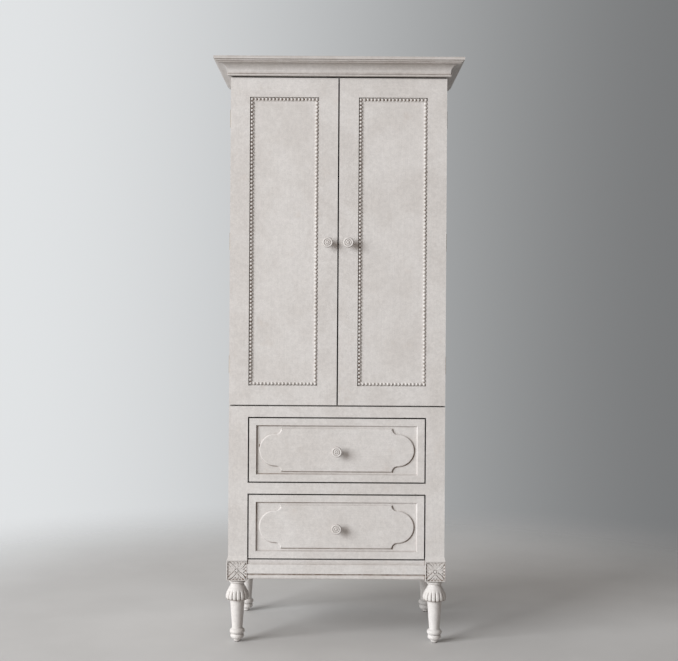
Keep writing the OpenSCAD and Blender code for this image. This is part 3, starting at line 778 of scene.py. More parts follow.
def beading(side):
    """A strip round the panel with a row of hand-cut half beads on it."""
    node = "door_%s_beading" % side
    panel_lo, panel_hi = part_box("door_%s_panel" % side)
    face_y = panel_lo.y
    top_y = face_y - STRIP_T
    us = [panel_lo.x, panel_lo.x + STRIP_W, panel_hi.x - STRIP_W, panel_hi.x]
    vs = [panel_lo.z, panel_lo.z + STRIP_W, panel_hi.z - STRIP_W, panel_hi.z]
    bm = bmesh.new()
    fret(bm, us, vs, all_cells(3, 3, holes=((1, 1),)), top_y, face_y + STRIP_SINK)
    ease(bm, 0.7 * MM, segments=3)
    shape, faces = bead_shape()
    draw = random.Random(11 if side == "left" else 12)
    x0, x1 = us[0] + STRIP_W / 2, us[3] - STRIP_W / 2
    z0, z1 = vs[0] + STRIP_W / 2, vs[3] - STRIP_W / 2
    spots = [(x0 + (x1 - x0) * i / BEAD_STEPS_X, z) for i in range(BEAD_STEPS_X + 1) for z in (z0, z1)]
    spots += [(x, z0 + (z1 - z0) * i / BEAD_STEPS_Z) for i in range(1, BEAD_STEPS_Z) for x in (x0, x1)]
    # Brown glazing between the beads, scaled by side as painted shade: heavy on the top row and left column
    # in the frame's shadow, lighter on the right column and lightest on the bottom row.
    side_shade = lambda x, z: 0.45 if near(z, z0) else 0.75 if near(x, x1) else 1.15
    for x, z in spots:
        size = BEAD_R * draw.uniform(0.92, 0.97)
        shift_x, shift_z = draw.uniform(-BEAD_JITTER, BEAD_JITTER), draw.uniform(-BEAD_JITTER, BEAD_JITTER)
        centre = np.array([x + shift_x, top_y, z + shift_z])
        flat = np.array([1.0, draw.uniform(0.93, 1.0), 1.0])
        ends = np.abs(shape[:, 0] if near(z, z0, z1) else shape[:, 2])
        shade = side_shade(x, z) * 0.9 * smooth_step(0.66, 0.92, ends)
        add_shape(bm, shape * size * flat + centre, faces, shade)
    step_x, step_z = (x1 - x0) / BEAD_STEPS_X, (z1 - z0) / BEAD_STEPS_Z
    links = [(x0 + step_x * (i + 0.5), z, 0) for i in range(BEAD_STEPS_X) for z in (z0, z1)]
    links += [(x, z0 + step_z * (i + 0.5), 1) for i in range(BEAD_STEPS_Z) for x in (x0, x1)]
    for x, z, upright in links:
        across, length = LINK_R * draw.uniform(0.85, 1.1), LINK_R * 0.8
        radii = np.array([across, LINK_T, length] if upright else [length, LINK_T, across])
        amount = side_shade(x, z) * draw.uniform(0.8, 1.1)
        add_shape(bm, shape * radii + np.array([x, top_y, z]), faces, [amount] * len(shape))
    name = "door_%s_beads" % side
    mesh = finish_mesh(bm, name, [BEAD_PAINT])
    place(mesh, name, body_of(node), [node], weighted=False)


# Rows of the knob's profile: radius and height in mm, and an amount of glazing and painted shade, heaviest
# round the rim's outer side and underside and in the grooves of its face.
KNOB_OUTLINE = [
    (0, 0, 0), (10.2, 0, 0.6), (10.2, 1.6, 0.5), (8.6, 2.6, 0.5), (7.6, 5.0, 0.3), (7.4, 8.6, 0.2),
    (8.2, 12.4, 0.2), (10.6, 16.4, 0.3), (14.2, 19.4, 0.5), (17.0, 21.6, 0.8), (18.2, 23.2, 1.0),
    (18.6, 24.6, 1.0), (18.2, 25.8, 0.7), (17.2, 26.9, 0.1), (15.4, 27.7, 0), (13.6, 27.7, 0),
    (12.3, 27.2, 0.0), (11.5, 26.4, 0.35), (10.9, 26.1, 0.5), (10.3, 26.4, 0.3), (9.4, 27.6, 0),
    (8.3, 28.3, 0), (7.2, 28.2, 0), (6.4, 27.4, 0.05), (5.8, 26.8, 0.4), (5.3, 26.6, 0.5),
    (4.8, 27.0, 0.25), (4.1, 28.4, 0), (3.1, 29.2, 0), (2.0, 29.3, 0), (1.0, 28.8, 0.1), (0, 28.5, 0.3),
]

KNOB_RISE = 31 * MM
NUT_OUTLINE = [(0, 0), (3.2, 0), (5.2, 0.3), (6.0, 0.9), (6.0, 3.0), (2.5, 3.0)]


def smooth_outline(points, steps=3):
    """A smooth curve through the points (Catmull-Rom)."""
    result = []
    for i in range(len(points) - 1):
        p0 = np.array(points[max(i - 1, 0)], float)
        p1 = np.array(points[i], float)
        p2 = np.array(points[i + 1], float)
        p3 = np.array(points[min(i + 2, len(points) - 1)], float)
        for k in range(steps):
            t = k / steps
            a = 2 * p1 + (p2 - p0) * t
            b = (2 * p0 - 5 * p1 + 4 * p2 - p3) * t * t
            c = (3 * p1 - p0 - 3 * p2 + p3) * t ** 3
            result.append(tuple(0.5 * (a + b + c)))
    result.append(tuple(float(v) for v in points[-1]))
    return result


def knob(node, name):
    """A turned knob with rings cut in its face, and its stud and nut behind the board."""
    lo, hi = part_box(node)
    cx, cz = (lo.x + hi.x) / 2, (lo.z + hi.z) / 2
    face = lo.y + KNOB_RISE
    rows = smooth_outline(KNOB_OUTLINE)
    outline = [(max(r, 0.0) * MM, h * MM) for r, h, g in rows]
    outline[0] = (0.0, outline[0][1])
    outline[-1] = (0.0, outline[-1][1])
    bm = bmesh.new()
    in_front = lambda a, b, h: (cx + a, face - h, cz + b)
    turned(bm, outline, in_front, 72, [min(max(g, 0.0), 1.0) for r, h, g in rows])
    behind = lambda a, b, h: (cx + a, hi.y - h, cz + b)
    depth = (hi.y - face) / MM - 0.5
    nut = NUT_OUTLINE + [(2.5, depth), (0, depth)]
    turned(bm, [(r * MM, h * MM) for r, h in nut], behind, 24)
    mesh = finish_mesh(bm, name, [CARVED_PAINT])
    place(mesh, name, body_of(node), [node], weighted=False)


# ---------- drawers ----------

FIELD_BORDER = 24 * MM
FIELD_DEPTH = 6.5 * MM
RAISED_T = 5 * MM
LOBE_L = 57.5 * MM
NOTCH_R = 19 * MM
FIELD_GAP = 11 * MM


def serpentine(l, h):
    """Outline of the raised field, counter-clockwise seen from the front, as [x, z]."""
    x = l / 2 - LOBE_L
    lobe_h = h / 2 - NOTCH_R
    hollow = arc((x, h / 2), NOTCH_R, 270, 180, 14)
    turns = [math.radians(90 * i / 20) for i in range(20)]
    lobe = [(x + LOBE_L * math.cos(a), lobe_h * math.sin(a)) for a in turns]
    straight = [(x - NOTCH_R - d * MM, h / 2) for d in (1.5, 3.0)]
    quarter = lobe + hollow + straight
    mirror = [(-a, b) for a, b in reversed(quarter)]
    half = quarter + mirror
    return half + [(-a, -b) for a, b in half[1:-1]]


def inset(outline, distance):
    """A closed outline moved inwards, its corners mitred."""
    pts = [Vector(p) for p in outline]
    n = len(pts)
    result = []
    for i in range(n):
        a, b, c = pts[i - 1], pts[i], pts[(i + 1) % n]
        u, v = (b - a).normalized(), (c - b).normalized()
        nu, nv = Vector((-u.y, u.x)), Vector((-v.y, v.x))
        m = nu + nv
        m = m / max(m.length_squared, 0.5) * 2
        result.append((b + m * distance)[:])
    return result


def lee(ring, i):
    """How far the edge of an outline faces right and down at a point, away from the light."""
    a, b = Vector(ring[i - 1]), Vector(ring[(i + 1) % len(ring)])
    t = (b - a).normalized()
    return max(0.0, 0.80 * t.y + 0.62 * t.x)


# Rows of the raised field's edge: offset in mm, rise as a share of its thickness, and an amount of glazing
# and painted shade.
RAISED_EDGE = (
    (-3.4, -0.06, 0.0), (-3.4, 0.01, 0.2), (-2.4, 0.02, 1.0), (-0.4, 0.05, 1.15), (0.0, 0.35, 1.1),
    (0.5, 0.62, 0.9), (1.3, 0.84, 0.35), (2.2, 0.96, 0.0), (3.2, 1.0, 0.0), (3.7, 1.0, 0.0),
)
RECESS_SLOPE = 3.4 * MM
FLOOR_EDGE = 1.4 * MM
# Painted shade on each side of the sunk field: heavy on the left and top, in the walls' shadow, light on
# the bottom, none on the right.
RECESS_SHADE = {"left": 1.25, "top": 1.15, "right": 0.0, "bottom": 0.35}


def shade_recess(bm, us, vs, face_y, floor_y):
    """Painted shade with brown glazing down the sloped sides of a sunk field, heaviest at its top left,
    where the walls shade it from the light.
    """
    layer = glaze_and_shade_layer(bm)
    for v in bm.verts:
        x, y, z = v.co
        inside = us[1] - 1e-5 < x < us[2] + 1e-5 and vs[1] - 1e-5 < z < vs[2] + 1e-5
        if not inside or not face_y + 1.0 * MM < y < floor_y + 1e-5:
            continue
        sides = ((x - us[1], "left"), (us[2] - x, "right"), (z - vs[1], "bottom"), (vs[2] - z, "top"))
        off, side = min(sides)
        if off <= RECESS_SLOPE + FLOOR_EDGE / 2:
            v[layer] = RECESS_SHADE[side]


def drawer_front(which):
    """Drawer front with a plain border, a sunk field and a raised serpentine field."""
    node = "drawer_%s_front" % which
    lo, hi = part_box(node)
    us = [lo.x, lo.x + FIELD_BORDER, hi.x - FIELD_BORDER, hi.x]
    vs = [lo.z, lo.z + FIELD_BORDER, hi.z - FIELD_BORDER, hi.z]
    bm = bmesh.new()
    floor_y = lo.y + FIELD_DEPTH
    board_front(bm, us, vs, lo.y, floor_y, hi.y)
    ease(bm, 0.7 * MM)
    # Painted shade on the walls of the gaps.
    shade_gap(bm, lo.y, lambda p: near(p.x, lo.x, hi.x) or near(p.z, lo.z, hi.z))
    # Painted shade down the sides of the sunk field.
    shade_recess(bm, us, vs, lo.y, floor_y)
    l = us[2] - us[1] - 2 * FIELD_GAP
    h = vs[2] - vs[1] - 2 * FIELD_GAP
    cz = (lo.z + hi.z) / 2
    ring = serpentine(l, h)
    lean = [lee(ring, i) for i in range(len(ring))]
    points, shade = [], []
    # Painted shade along the raised edge, heaviest where lee finds it facing away from the light.
    for offset, rise, glaze_and_shade in RAISED_EDGE:
        for x, z in inset(ring, offset * MM):
            points.append((x, floor_y - rise * RAISED_T, cz + z))
        shade += [glaze_and_shade * (0.10 + 1.0 * away) for away in lean]
    rows = len(RAISED_EDGE)
    faces = grid_faces(rows, len(ring))
    faces.append(tuple(range((rows - 1) * len(ring), rows * len(ring))))
    faces.append(tuple(reversed(range(len(ring)))))
    add_shape(bm, points, faces, shade)
    name = "drawer_%s_face" % which
    place(finish_mesh(bm, name, [PAINT[X]]), name, body_of(node), [node])


def board_front(bm, us, vs, y0, y1, y2):
    """A board with a sunk field in its front, as one closed solid."""
    def v(i, j, y):
        return bm.verts.new((us[i], y, vs[j]))

    front = {(i, j): v(i, j, y0) for i in range(4) for j in range(4)}
    sunk = {(i, j): v(i, j, y1) for i in (1, 2) for j in (1, 2)}
    for (i, j), vert in sunk.items():
        vert.co.x += RECESS_SLOPE * (3 - 2 * i)
        vert.co.z += RECESS_SLOPE * (3 - 2 * j)
    floor = {k: bm.verts.new(vert.co) for k, vert in sunk.items()}
    for (i, j), vert in floor.items():
        vert.co.x += FLOOR_EDGE * (3 - 2 * i)
        vert.co.z += FLOOR_EDGE * (3 - 2 * j)
    back = {(i, j): v(i, j, y2) for i in (0, 3) for j in (0, 3)}
    for i in range(3):
        for j in range(3):
            if (i, j) != (1, 1):
                bm.faces.new([front[(i, j)], front[(i + 1, j)], front[(i + 1, j + 1)], front[(i, j + 1)]])
    loop = [(1, 1), (2, 1), (2, 2), (1, 2)]
    for a, b in zip(loop, loop[1:] + loop[:1]):
        bm.faces.new([front[a], front[b], sunk[b], sunk[a]])
        bm.faces.new([sunk[a], sunk[b], floor[b], floor[a]])
    bm.faces.new([floor[k] for k in loop])
    bm.faces.new([back[(0, 0)], back[(3, 0)], back[(3, 3)], back[(0, 3)]])
    edges = [[(i, j) for i in range(4)] for j in (0, 3)] + [[(i, j) for j in range(4)] for i in (0, 3)]
    for edge in edges:
        bm.faces.new([front[k] for k in edge] + [back[edge[-1]], back[edge[0]]])


def drawer(which):
    drawer_front(which)
    eased("drawer_%s_sides" % which, "drawer_%s_box_sides" % which, BIRCH[Y], 1.2 * MM)
    ends = "drawer_%s_ends" % which
    eased(ends, "drawer_%s_box_ends" % which, BIRCH[X], 1.0 * MM, outer_edge(ends))
    eased("drawer_%s_bottom" % which, "drawer_%s_tray" % which, BIRCH[X], 0.5 * MM)
    knob("drawer_%s_knob" % which, "drawer_%s_pull" % which)


# ---------- legs ----------

LEG_FOOT = [(0, 0), (8.6, 0.0), (10.2, 0.8), (12.0, 5.0), (13.4, 9.0)]
LEG_RINGS = arc((13, 20.5), 10.4, -62, 62, 12) + arc((17, 37), 9.2, -62, 66, 12)
LEG_TAPER = [(18.2, 46.9), (18.25, 49.5), (19.9, 72), (21.9, 98), (23.9, 125), (25.3, 143)]
LEG_COLLAR = [
    (25.9, 147.6, 0.2, 0.5), (27.6, 149.6, 0.8, 1.5), (31.5, 149.2, 2.2, 2.8), (35.4, 148.9, 3.6, 3.8),
    (38.0, 149.4, 4.8, 4.2), (39.5, 151.2, 5.6, 3.6), (40.4, 154.4, 5.8, 2.4), (40.7, 157.6, 5.9, 1.2),
    (41.0, 161.0, 5.8, 0.4), (40.6, 164.6, 5.6, 0), (39.5, 168.2, 5.3, -0.2), (38.3, 171.8, 4.8, -0.6),
    (37.0, 175.2, 4.2, -1.6), (35.6, 177.8, 3.2, -2.6), (34.1, 180.4, 1.6, -2.4), (32.5, 183.2, 0.4, -0.6),
]
LEG_NECK = [
    (30.6, 187.0), (28.7, 190.2), (26.8, 193.0), (25.2, 195.8), (23.9, 198.8), (23.0, 202.0), (22.8, 205.2),
]
LEG_BEAD = arc((24.4, 209.8), 3.9, -80, 70, 8)
LEG_HEAD = [(24.6, 214.6), (24.4, 216.2), (24.6, 218.0), (0, 218.0)]


def plain(outline):
    """Rows of a leg with nothing carved: radius, height, and no depth or lift of the gaps."""
    return [(r, h, 0, 0) for r, h in outline]


LEG_ROWS = plain(LEG_FOOT + LEG_RINGS + LEG_TAPER) + LEG_COLLAR + plain(LEG_NECK + LEG_BEAD + LEG_HEAD)
PETALS = 16
PETAL_STEPS = 18


def petal(angle):
    """Height of a petal across its width, from 0 in the gap to 1 on its crest."""
    t = abs(((angle * PETALS / (2 * math.pi)) % 1.0) * 2 - 1)
    return (1 - t ** 3.2) ** 0.6


def leg_turning(bm, cx, cy, phase):
    """The turned part of a leg, its collar carved into petals."""
    segments = PETALS * PETAL_STEPS
    shape = []
    for i in range(segments):
        a = 2 * math.pi * i / segments
        shape.append((math.cos(a + phase), math.sin(a + phase), petal(a)))
    rows = LEG_ROWS[1:-1]
    points = [(cx, cy, 0.0)]
    glaze_and_shade = [0.0]
    for r, h, depth, lift in rows:
        for c, s, up in shape:
            gap = 1 - up
            radius = (r - depth * gap) * MM
            points.append((cx + radius * c, cy + radius * s, (h + lift * gap) * MM))
            # Glazing and painted shade in the gaps between the petals, and painted shade under the collar's
            # scalloped edge.
            under_shade = min(1.0, max(0.0, (153.0 - h) / 2.0)) if h > 147 else 0.0
            glaze_and_shade.append(min(1.2, max(0.0, (gap - 0.45) * depth / 2.4, under_shade * (0.55 + gap))))
    points.append((cx, cy, LEG_ROWS[-1][1] * MM))
    glaze_and_shade.append(0.0)
    add_shape(bm, points, spun_faces(len(rows), segments), glaze_and_shade)


PLAQUE_T = 4 * MM
PROUD = 4.5 * MM
SHOULDER_H = 16 * MM
BLOCK_W = 71 * MM
COLLAR_R = 41 * MM


def block(node):
    """A leg's block: its side (1 right, -1 left), the distances of its two faces from the middle,
    its y range, and whether it is at the back."""
    lo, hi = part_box(node)
    side, _, far_face = sideways(lo, hi)
    axis = far_face - COLLAR_R
    cy = hi.y - COLLAR_R if hi.y > 0 else lo.y + COLLAR_R
    return side, axis - BLOCK_W / 2, axis + BLOCK_W / 2, cy - BLOCK_W / 2, cy + BLOCK_W / 2, hi.y > 0


def frustum(bm, low, high):
    """A closed solid between two rectangles (x0, y0, x1, y1, z)."""
    corners = []
    for x0, y0, x1, y1, z in (low, high):
        corners += [(x0, y0, z), (x1, y0, z), (x1, y1, z), (x0, y1, z)]
    faces = [(3, 2, 1, 0), (4, 5, 6, 7), (0, 1, 5, 4), (1, 2, 6, 5), (2, 3, 7, 6), (3, 0, 4, 7)]
    add_shape(bm, corners, faces)


def leg(node, number):
    """One leg: its turning, the block the carving is set on, and the shoulder above."""
    sign, inn, out, y0, y1, back = block(node)
    cx, cy = sign * (inn + out) / 2, (y0 + y1) / 2
    core_y = y0 if back else y0 + PLAQUE_T
    block_z, z1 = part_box("rosettes")[0].z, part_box("rosettes")[1].z
    z2 = z1 + SHOULDER_H
    bm = bmesh.new()
    xs = sorted((sign * inn, sign * (out - PLAQUE_T)))
    frustum(bm, (xs[0], core_y, xs[1], y1, block_z), (xs[0], core_y, xs[1], y1, z1))
    lows = sorted((sign * inn, sign * out))
    highs = sorted((sign * inn, sign * (out - PROUD)))
    slope = y0 if back else y0 + PROUD
    frustum(bm, (lows[0], y0, lows[1], y1, z1), (highs[0], slope, highs[1], y1, z2))
    ease(bm, 0.8 * MM)
    leg_turning(bm, cx, cy, 0.05 * number)
    name = node + "_turned"
    place(finish_mesh(bm, name, [CARVED_PAINT]), name, "case", [node], weighted=False)


# ---------- carved rosettes ----------

CARVE_STEPS = 110


def smooth_step(a, b, v):
    t = np.clip((v - a) / (b - a), 0.0, 1.0)
    return t * t * (3 - 2 * t)


def leaf_blade(along_it, across, length, width, point):
    """A leaf with a raised midrib, a hollow each side of it and a crisp outer edge."""
    t = np.clip(along_it / length, 0.0, 1.0)
    half = width * np.sin(math.pi * t ** point) ** 0.75 + 0.05
    q = np.abs(across) / half
    midrib = 0.95 * np.exp(-(q / 0.17) ** 2)
    border = 0.75 * np.exp(-((q - 0.82) / 0.2) ** 2)
    body = np.where(q < 1, 1.55 + midrib + border, 0.0)
    return np.where((along_it > 0) & (along_it < length), body, 0.0)


def turned_axes(r, angle, aim):
    """Distances along and across a line from the centre that points along aim."""
    d = (angle - aim + math.pi) % (2 * math.pi) - math.pi
    return r * np.cos(d), r * np.sin(d)


def rosette_height(u, v, w, h):
    """Height in mm of the carving, at mm from the centre of a square w by h."""
    r = np.hypot(u, v)
    angle = np.arctan2(v, u)
    carving = 0.55 + 0 * u
    for k in range(8):
        out, across = turned_axes(r, angle, math.pi / 8 + k * math.pi / 4)
        carving = np.maximum(carving, 1.02 * leaf_blade(out - 5.5, across, 25.5, 4.1, 0.95))
    for k in range(4):
        out, across = turned_axes(r, angle, k * math.pi / 2)
        carving = np.maximum(carving, 1.28 * leaf_blade(out - 5.0, across, 25.0, 5.0, 0.9))
    for k in range(4):
        out, across = turned_axes(r, angle, math.pi / 4 + k * math.pi / 2)
        blade = leaf_blade(out - 5.0, across, 39.0, 5.2, 0.8)
        moat = np.exp(-((np.abs(across) - 5.6) / 1.2) ** 2) * (r > 10) * (r < 42) * (out > 0)
        lift = 1.50 if k > 1 else 1.36
        carving = np.where(blade > 0, lift * blade, carving - (1.5 if k > 1 else 0.5) * moat)
    button = 3.9 - 0.05 * r ** 2 - 1.3 * np.exp(-(r / 1.6) ** 2)
    carving = np.where(r < 5.0, np.maximum(button, 1.8), carving)
    carving = carving - 1.6 * np.exp(-((r - 5.9) / 0.9) ** 2)
    to_edge = np.minimum(w / 2 - np.abs(u), h / 2 - np.abs(v))
    rim = smooth_step(3.4, 2.6, to_edge) * 3.75
    place_u = np.where(w / 2 - np.abs(u) < h / 2 - np.abs(v), v, u)
    groove = smooth_step(2.8, 3.4, to_edge) * smooth_step(5.4, 4.6, to_edge)
    dashes = smooth_step(0.45, 0.8, np.abs(np.cos(place_u * math.pi / 11.5)))
    carving = np.where(to_edge > 2.9, carving + groove * (1.5 - 3.4 * dashes), carving)
    carving = np.maximum(carving, rim)
    corner = smooth_step(0.0, 1.2, to_edge)
    return np.clip(carving, 0.15, 3.9) * (0.55 + 0.45 * corner)


def spread(field, passes):
    """A field averaged with its neighbours a number of times."""
    for _ in range(passes):
        padded = np.pad(field, 1, mode="edge")
        across = padded[1:-1, :-2] + padded[1:-1, 1:-1] + padded[1:-1, 2:]
        padded = np.pad(across / 3, 1, mode="edge")
        field = (padded[:-2, 1:-1] + padded[1:-1, 1:-1] + padded[2:, 1:-1]) / 3
    return field


def carve(bm, lo, hi):
    """Adds one carved square over a plaque's box."""
    facing_y = hi.y - lo.y < hi.x - lo.x
    w = (hi.x - lo.x if facing_y else hi.y - lo.y) / MM
    h = (hi.z - lo.z) / MM
    steps = np.linspace(-0.5, 0.5, CARVE_STEPS)
    u, v = np.meshgrid(steps * w, steps * h)
    height = rosette_height(u, v, w, h)
    hollow = spread(height, 16) - height
    low = smooth_step(0.6, 0.1, height)
    at_sides = smooth_step(6.4, 5.4, w / 2 - np.abs(u))
    # Glazing and painted shade in the carving's hollows, heavier towards the bottom, and darker on the low
    # ground near the left and right sides.
    pooled_and_shaded = np.clip((hollow - 0.30) / 0.55, 0.0, 1.1) + 0.30 * low
    glaze_and_shade = pooled_and_shaded * (0.45 + 0.65 * smooth_step(6.0, -6.0, v)) + 0.8 * at_sides * low
    n = CARVE_STEPS
    sign = sideways(lo, hi)[0]
    centre = (lo + hi) / 2

    def at(du, dv, rise):
        if facing_y:
            return (centre.x + du * MM, hi.y - rise * MM, centre.z + dv * MM)
        base = lo.x if sign > 0 else hi.x
        return (base + sign * rise * MM, centre.y + sign * du * MM, centre.z + dv * MM)

    points = [at(*spot) for spot in zip(u.flat, v.flat, height.flat)]
    faces = grid_faces(n, n, closed=False)
    rim = list(range(n)) + [j * n + n - 1 for j in range(1, n)]
    rim += [(n - 1) * n + i for i in range(n - 2, -1, -1)] + [j * n for j in range(n - 2, 0, -1)]
    start = len(points)
    points += [at(u.flat[k], v.flat[k], 0.0) for k in rim]
    m = len(rim)
    for k in range(m):
        q = (k + 1) % m
        faces.append((rim[k], start + k, start + q, rim[q]))
    faces.append(tuple(start + k for k in range(m)))
    shade = list(np.clip(glaze_and_shade, 0, 1.15).ravel()) + [0.0] * m
    add_shape(bm, points, faces, shade)


def plaques():
    """Boxes of the six carved squares: two in front and one on each outer face of the four blocks."""
    z0, z1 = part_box("rosettes")[0].z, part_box("rosettes")[1].z
    boxes = []
    for node in ("leg_front_left", "leg_front_right", "leg_back_left", "leg_back_right"):
        side, inn, out, y0, y1, back = block(node)
        if not back:
            xs = sorted((side * inn, side * out))
            boxes.append((Vector((xs[0], y0, z0)), Vector((xs[1], y0 + PLAQUE_T, z1))))
            y0 += PLAQUE_T
        xs = sorted((side * out, side * (out - PLAQUE_T)))
        boxes.append((Vector((xs[0], y0, z0)), Vector((xs[1], y1, z1))))
    return boxes


def rosettes():
    bm = bmesh.new()
    for lo, hi in plaques():
        carve(bm, lo, hi)
    mesh = finish_mesh(bm, "carved_rosettes", [CARVED_PAINT])
    place(mesh, "carved_rosettes", "case", ["rosettes"], weighted=False)


# ---------- fittings ----------


HEAD_RINGS = (0.18, 0.36, 0.52, 0.68, 0.84, 0.95, 1.0)
HEAD_SEGMENTS = 24
HEAD_SINK = 0.3 * MM


def screw_head(bm, centre, facing, radius, rise):
    """A pan head with a cross recess."""
    side = facing.orthogonal().normalized()
    other = facing.cross(side)
    at = lambda x, y, up: (centre + (side * x + other * y) * radius + facing * up)[:]
    around = circle(HEAD_SEGMENTS)
    points = []
    for q in HEAD_RINGS:
        for c, s in around:
            x, y = q * c, q * s
            slotted = min(abs(x), abs(y)) < 0.13 and max(abs(x), abs(y)) < 0.62
            up = rise * (1 - q ** 3) * 0.75 + rise * 0.25 - (rise * 0.6 if slotted else 0.0)
            points.append(at(x, y, max(up, 0.02 * rise)))
    points += [at(c, s, -HEAD_SINK) for c, s in around]
    middle = len(points)
    points.append(at(0.0, 0.0, rise * 0.4))
    faces = grid_faces(len(HEAD_RINGS) + 1, HEAD_SEGMENTS)
    faces += [(middle, i, (i + 1) % HEAD_SEGMENTS) for i in range(HEAD_SEGMENTS)]
    faces.append(tuple(range(middle - HEAD_SEGMENTS, middle)))
    add_shape(bm, points, faces)


def screw_heads(name, spots, radius, rise, material, body):
    """One piece with several heads. Each spot is a centre and the way it faces."""
    bm = bmesh.new()
    for centre, facing in spots:
        screw_head(bm, Vector(centre), Vector(facing), radius, rise)
    place(finish_mesh(bm, name, [material]), name, body, [], weighted=False)


CARCASS_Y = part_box("side_stiles")[0].y
DOOR_BACK_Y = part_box("door_right_stiles")[1].y
HINGE_SCREW_IN = 7.5 * MM
HINGE_SCREW_UP = 20 * MM
LEAF_FACES = (("case", CARCASS_Y, -1), ("door_left", DOOR_BACK_Y, 1), ("door_right", DOOR_BACK_Y, 1))


def hinge_screws():
    """Two screws in each leaf, flush on the faces that meet when a door is shut."""
    for body, y, facing in LEAF_FACES:
        spots = []
        for lo, hi in islands(body + "_hinge_leaves"):
            side, near_face, _ = sideways(lo, hi)
            x = side * (near_face + HINGE_SCREW_IN)
            mid = (lo.z + hi.z) / 2
            spots += [((x, y, mid + d), (0, facing, 0)) for d in (-HINGE_SCREW_UP, HINGE_SCREW_UP)]
        screw_heads(body + "_hinge_screws", spots, 2.9 * MM, 0.28 * MM, BRASS, body)


FITTINGS = (
    (BRASS, ("hinge_pins", "case_hinge_leaves", "door_left_hinge_leaves", "door_right_hinge_leaves")),
    (STEEL, ("slide_outer_members", "slide_middle_upper", "slide_middle_lower", "drawer_upper_slides")),
    (STEEL, ("drawer_lower_slides", "shelf_pins", "door_left_strike", "door_right_strike")),
    (CHROME, ("hanging_rail", "rail_sockets")),
    (PLASTIC, ("door_catches",)),
)


def fittings():
    """Materials for the CAD nodes that are shown as they are, and their screws."""
    for material, nodes in FITTINGS:
        for node in nodes:
            data = frame["nodes"][node].data
            data.materials.clear()
            data.materials.append(material)
    hinge_screws()
    back_screws()
    socket_screws()
    slide_screws()


BACK_SCREW_IN = 12 * MM


def back_screws():
    """Screws that hold the back panel to its frame."""
    lo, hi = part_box("back_panel")
    left, right = lo.x + BACK_SCREW_IN, hi.x - BACK_SCREW_IN
    low, high = lo.z + BACK_SCREW_IN, hi.z - BACK_SCREW_IN
    spots = []
    for i in range(7):
        z = low + (high - low) * i / 6
        spots += [((x, hi.y, z), (0, 1, 0)) for x in (left, right)]
    for i in range(1, 4):
        x = left + (right - left) * i / 4
        spots += [((x, hi.y, z), (0, 1, 0)) for z in (low, high)]
    screw_heads("back_panel_screws", spots, 3.6 * MM, 1.4 * MM, STEEL, "case")


FLANGE_T = 3 * MM
FLANGE_SCREW_R = 19.6 * MM


def socket_screws():
    """Three screws in the flange of each rail socket."""
    spots = []
    for lo, hi in islands("rail_sockets"):
        sign, _, far_face = sideways(lo, hi)
        cy, cz = (lo.y + hi.y) / 2, (lo.z + hi.z) / 2
        for k in range(3):
            a = math.radians(90 + 120 * k)
            y, z = cy + FLANGE_SCREW_R * math.cos(a), cz + FLANGE_SCREW_R * math.sin(a)
            spots.append(((sign * (far_face - FLANGE_T), y, z), (-sign, 0, 0)))
    screw_heads("socket_screws", spots, 2.6 * MM, 0.9 * MM, CHROME, "case")


SLIDE_WEB_T = 1.2 * MM
SLIDE_SCREW_FRONT = 35 * MM
SLIDE_SCREW_BACK = 60 * MM


def slide_screws():
    """Screws in the webs of the outer slide members, which the open drawers show."""
    spots = []
    for lo, hi in islands("slide_outer_members"):
        sign, _, far_face = sideways(lo, hi)
        mid = (lo.z + hi.z) / 2
        for y in (lo.y + SLIDE_SCREW_FRONT, hi.y - SLIDE_SCREW_BACK):
            spots.append(((sign * (far_face - SLIDE_WEB_T), y, mid), (-sign, 0, 0)))
    screw_heads("slide_screws", spots, 3.4 * MM, 0.8 * MM, STEEL, "case")


# ---------- build ----------

face_frame()
case_boards()
for hand in ("left", "right"):
    door_frame(hand)
    door_panel(hand)
    beading(hand)
    knob("door_%s_knob" % hand, "door_%s_pull" % hand)
for level in ("upper", "lower"):
    drawer(level)
for index, corner in enumerate(("front_left", "front_right", "back_left", "back_right")):
    leg("leg_" + corner, index)
rosettes()
fittings()

# ---------- stage, light and camera ----------

FLOOR_R = 3.0
FADE_FROM = 1.1
FADE_TO = 2.95
FLOOR_DARK = rgb(0.585, 0.572, 0.560)
FLOOR_LIGHT = rgb(0.615, 0.602, 0.590)


def floor_material():
    """Pale floor that fades out into the backdrop away from the object."""
    s = Shader("pale_floor")
    s.set("Base Color", s.mix(s.ramp(s.noise(3.0, 3.0), 0.3, 0.7), FLOOR_DARK, FLOOR_LIGHT))
    s.set("Roughness", 0.75)
    s.set("Specular IOR Level", 0.2)
    flat = s.tree.nodes.new("ShaderNodeVectorMath")
    flat.operation = "LENGTH"
    s.tree.links.new(s.place, flat.inputs[0])
    s.set("Alpha", s.ramp(flat.outputs["Value"], FADE_FROM, FADE_TO, 1.0, 0.0))
    return s.material


def floor():
    bm = bmesh.new()
    bm.faces.new([bm.verts.new((FLOOR_R * c, FLOOR_R * s, 0.0)) for c, s in circle(96)])
    mesh = bpy.data.meshes.new("studio_floor")
    bm.to_mesh(mesh)
    bm.free()
    mesh.materials.append(floor_material())
    piece = bpy.data.objects.new("studio_floor", mesh)
    bpy.context.scene.collection.objects.link(piece)


KEY_AIM = Vector((0.0, 0.0, 1.15))
KEY_TRAVEL = Vector((0.78, 0.57, -0.25)).normalized()
KEY_DISTANCE = 14.0
KEY_AT = KEY_AIM - KEY_TRAVEL * KEY_DISTANCE
KEY_SIZE = 8.5
KEY_POWER = 2565.0
KEY_COLOUR = (0.97, 1.0, 1.025)


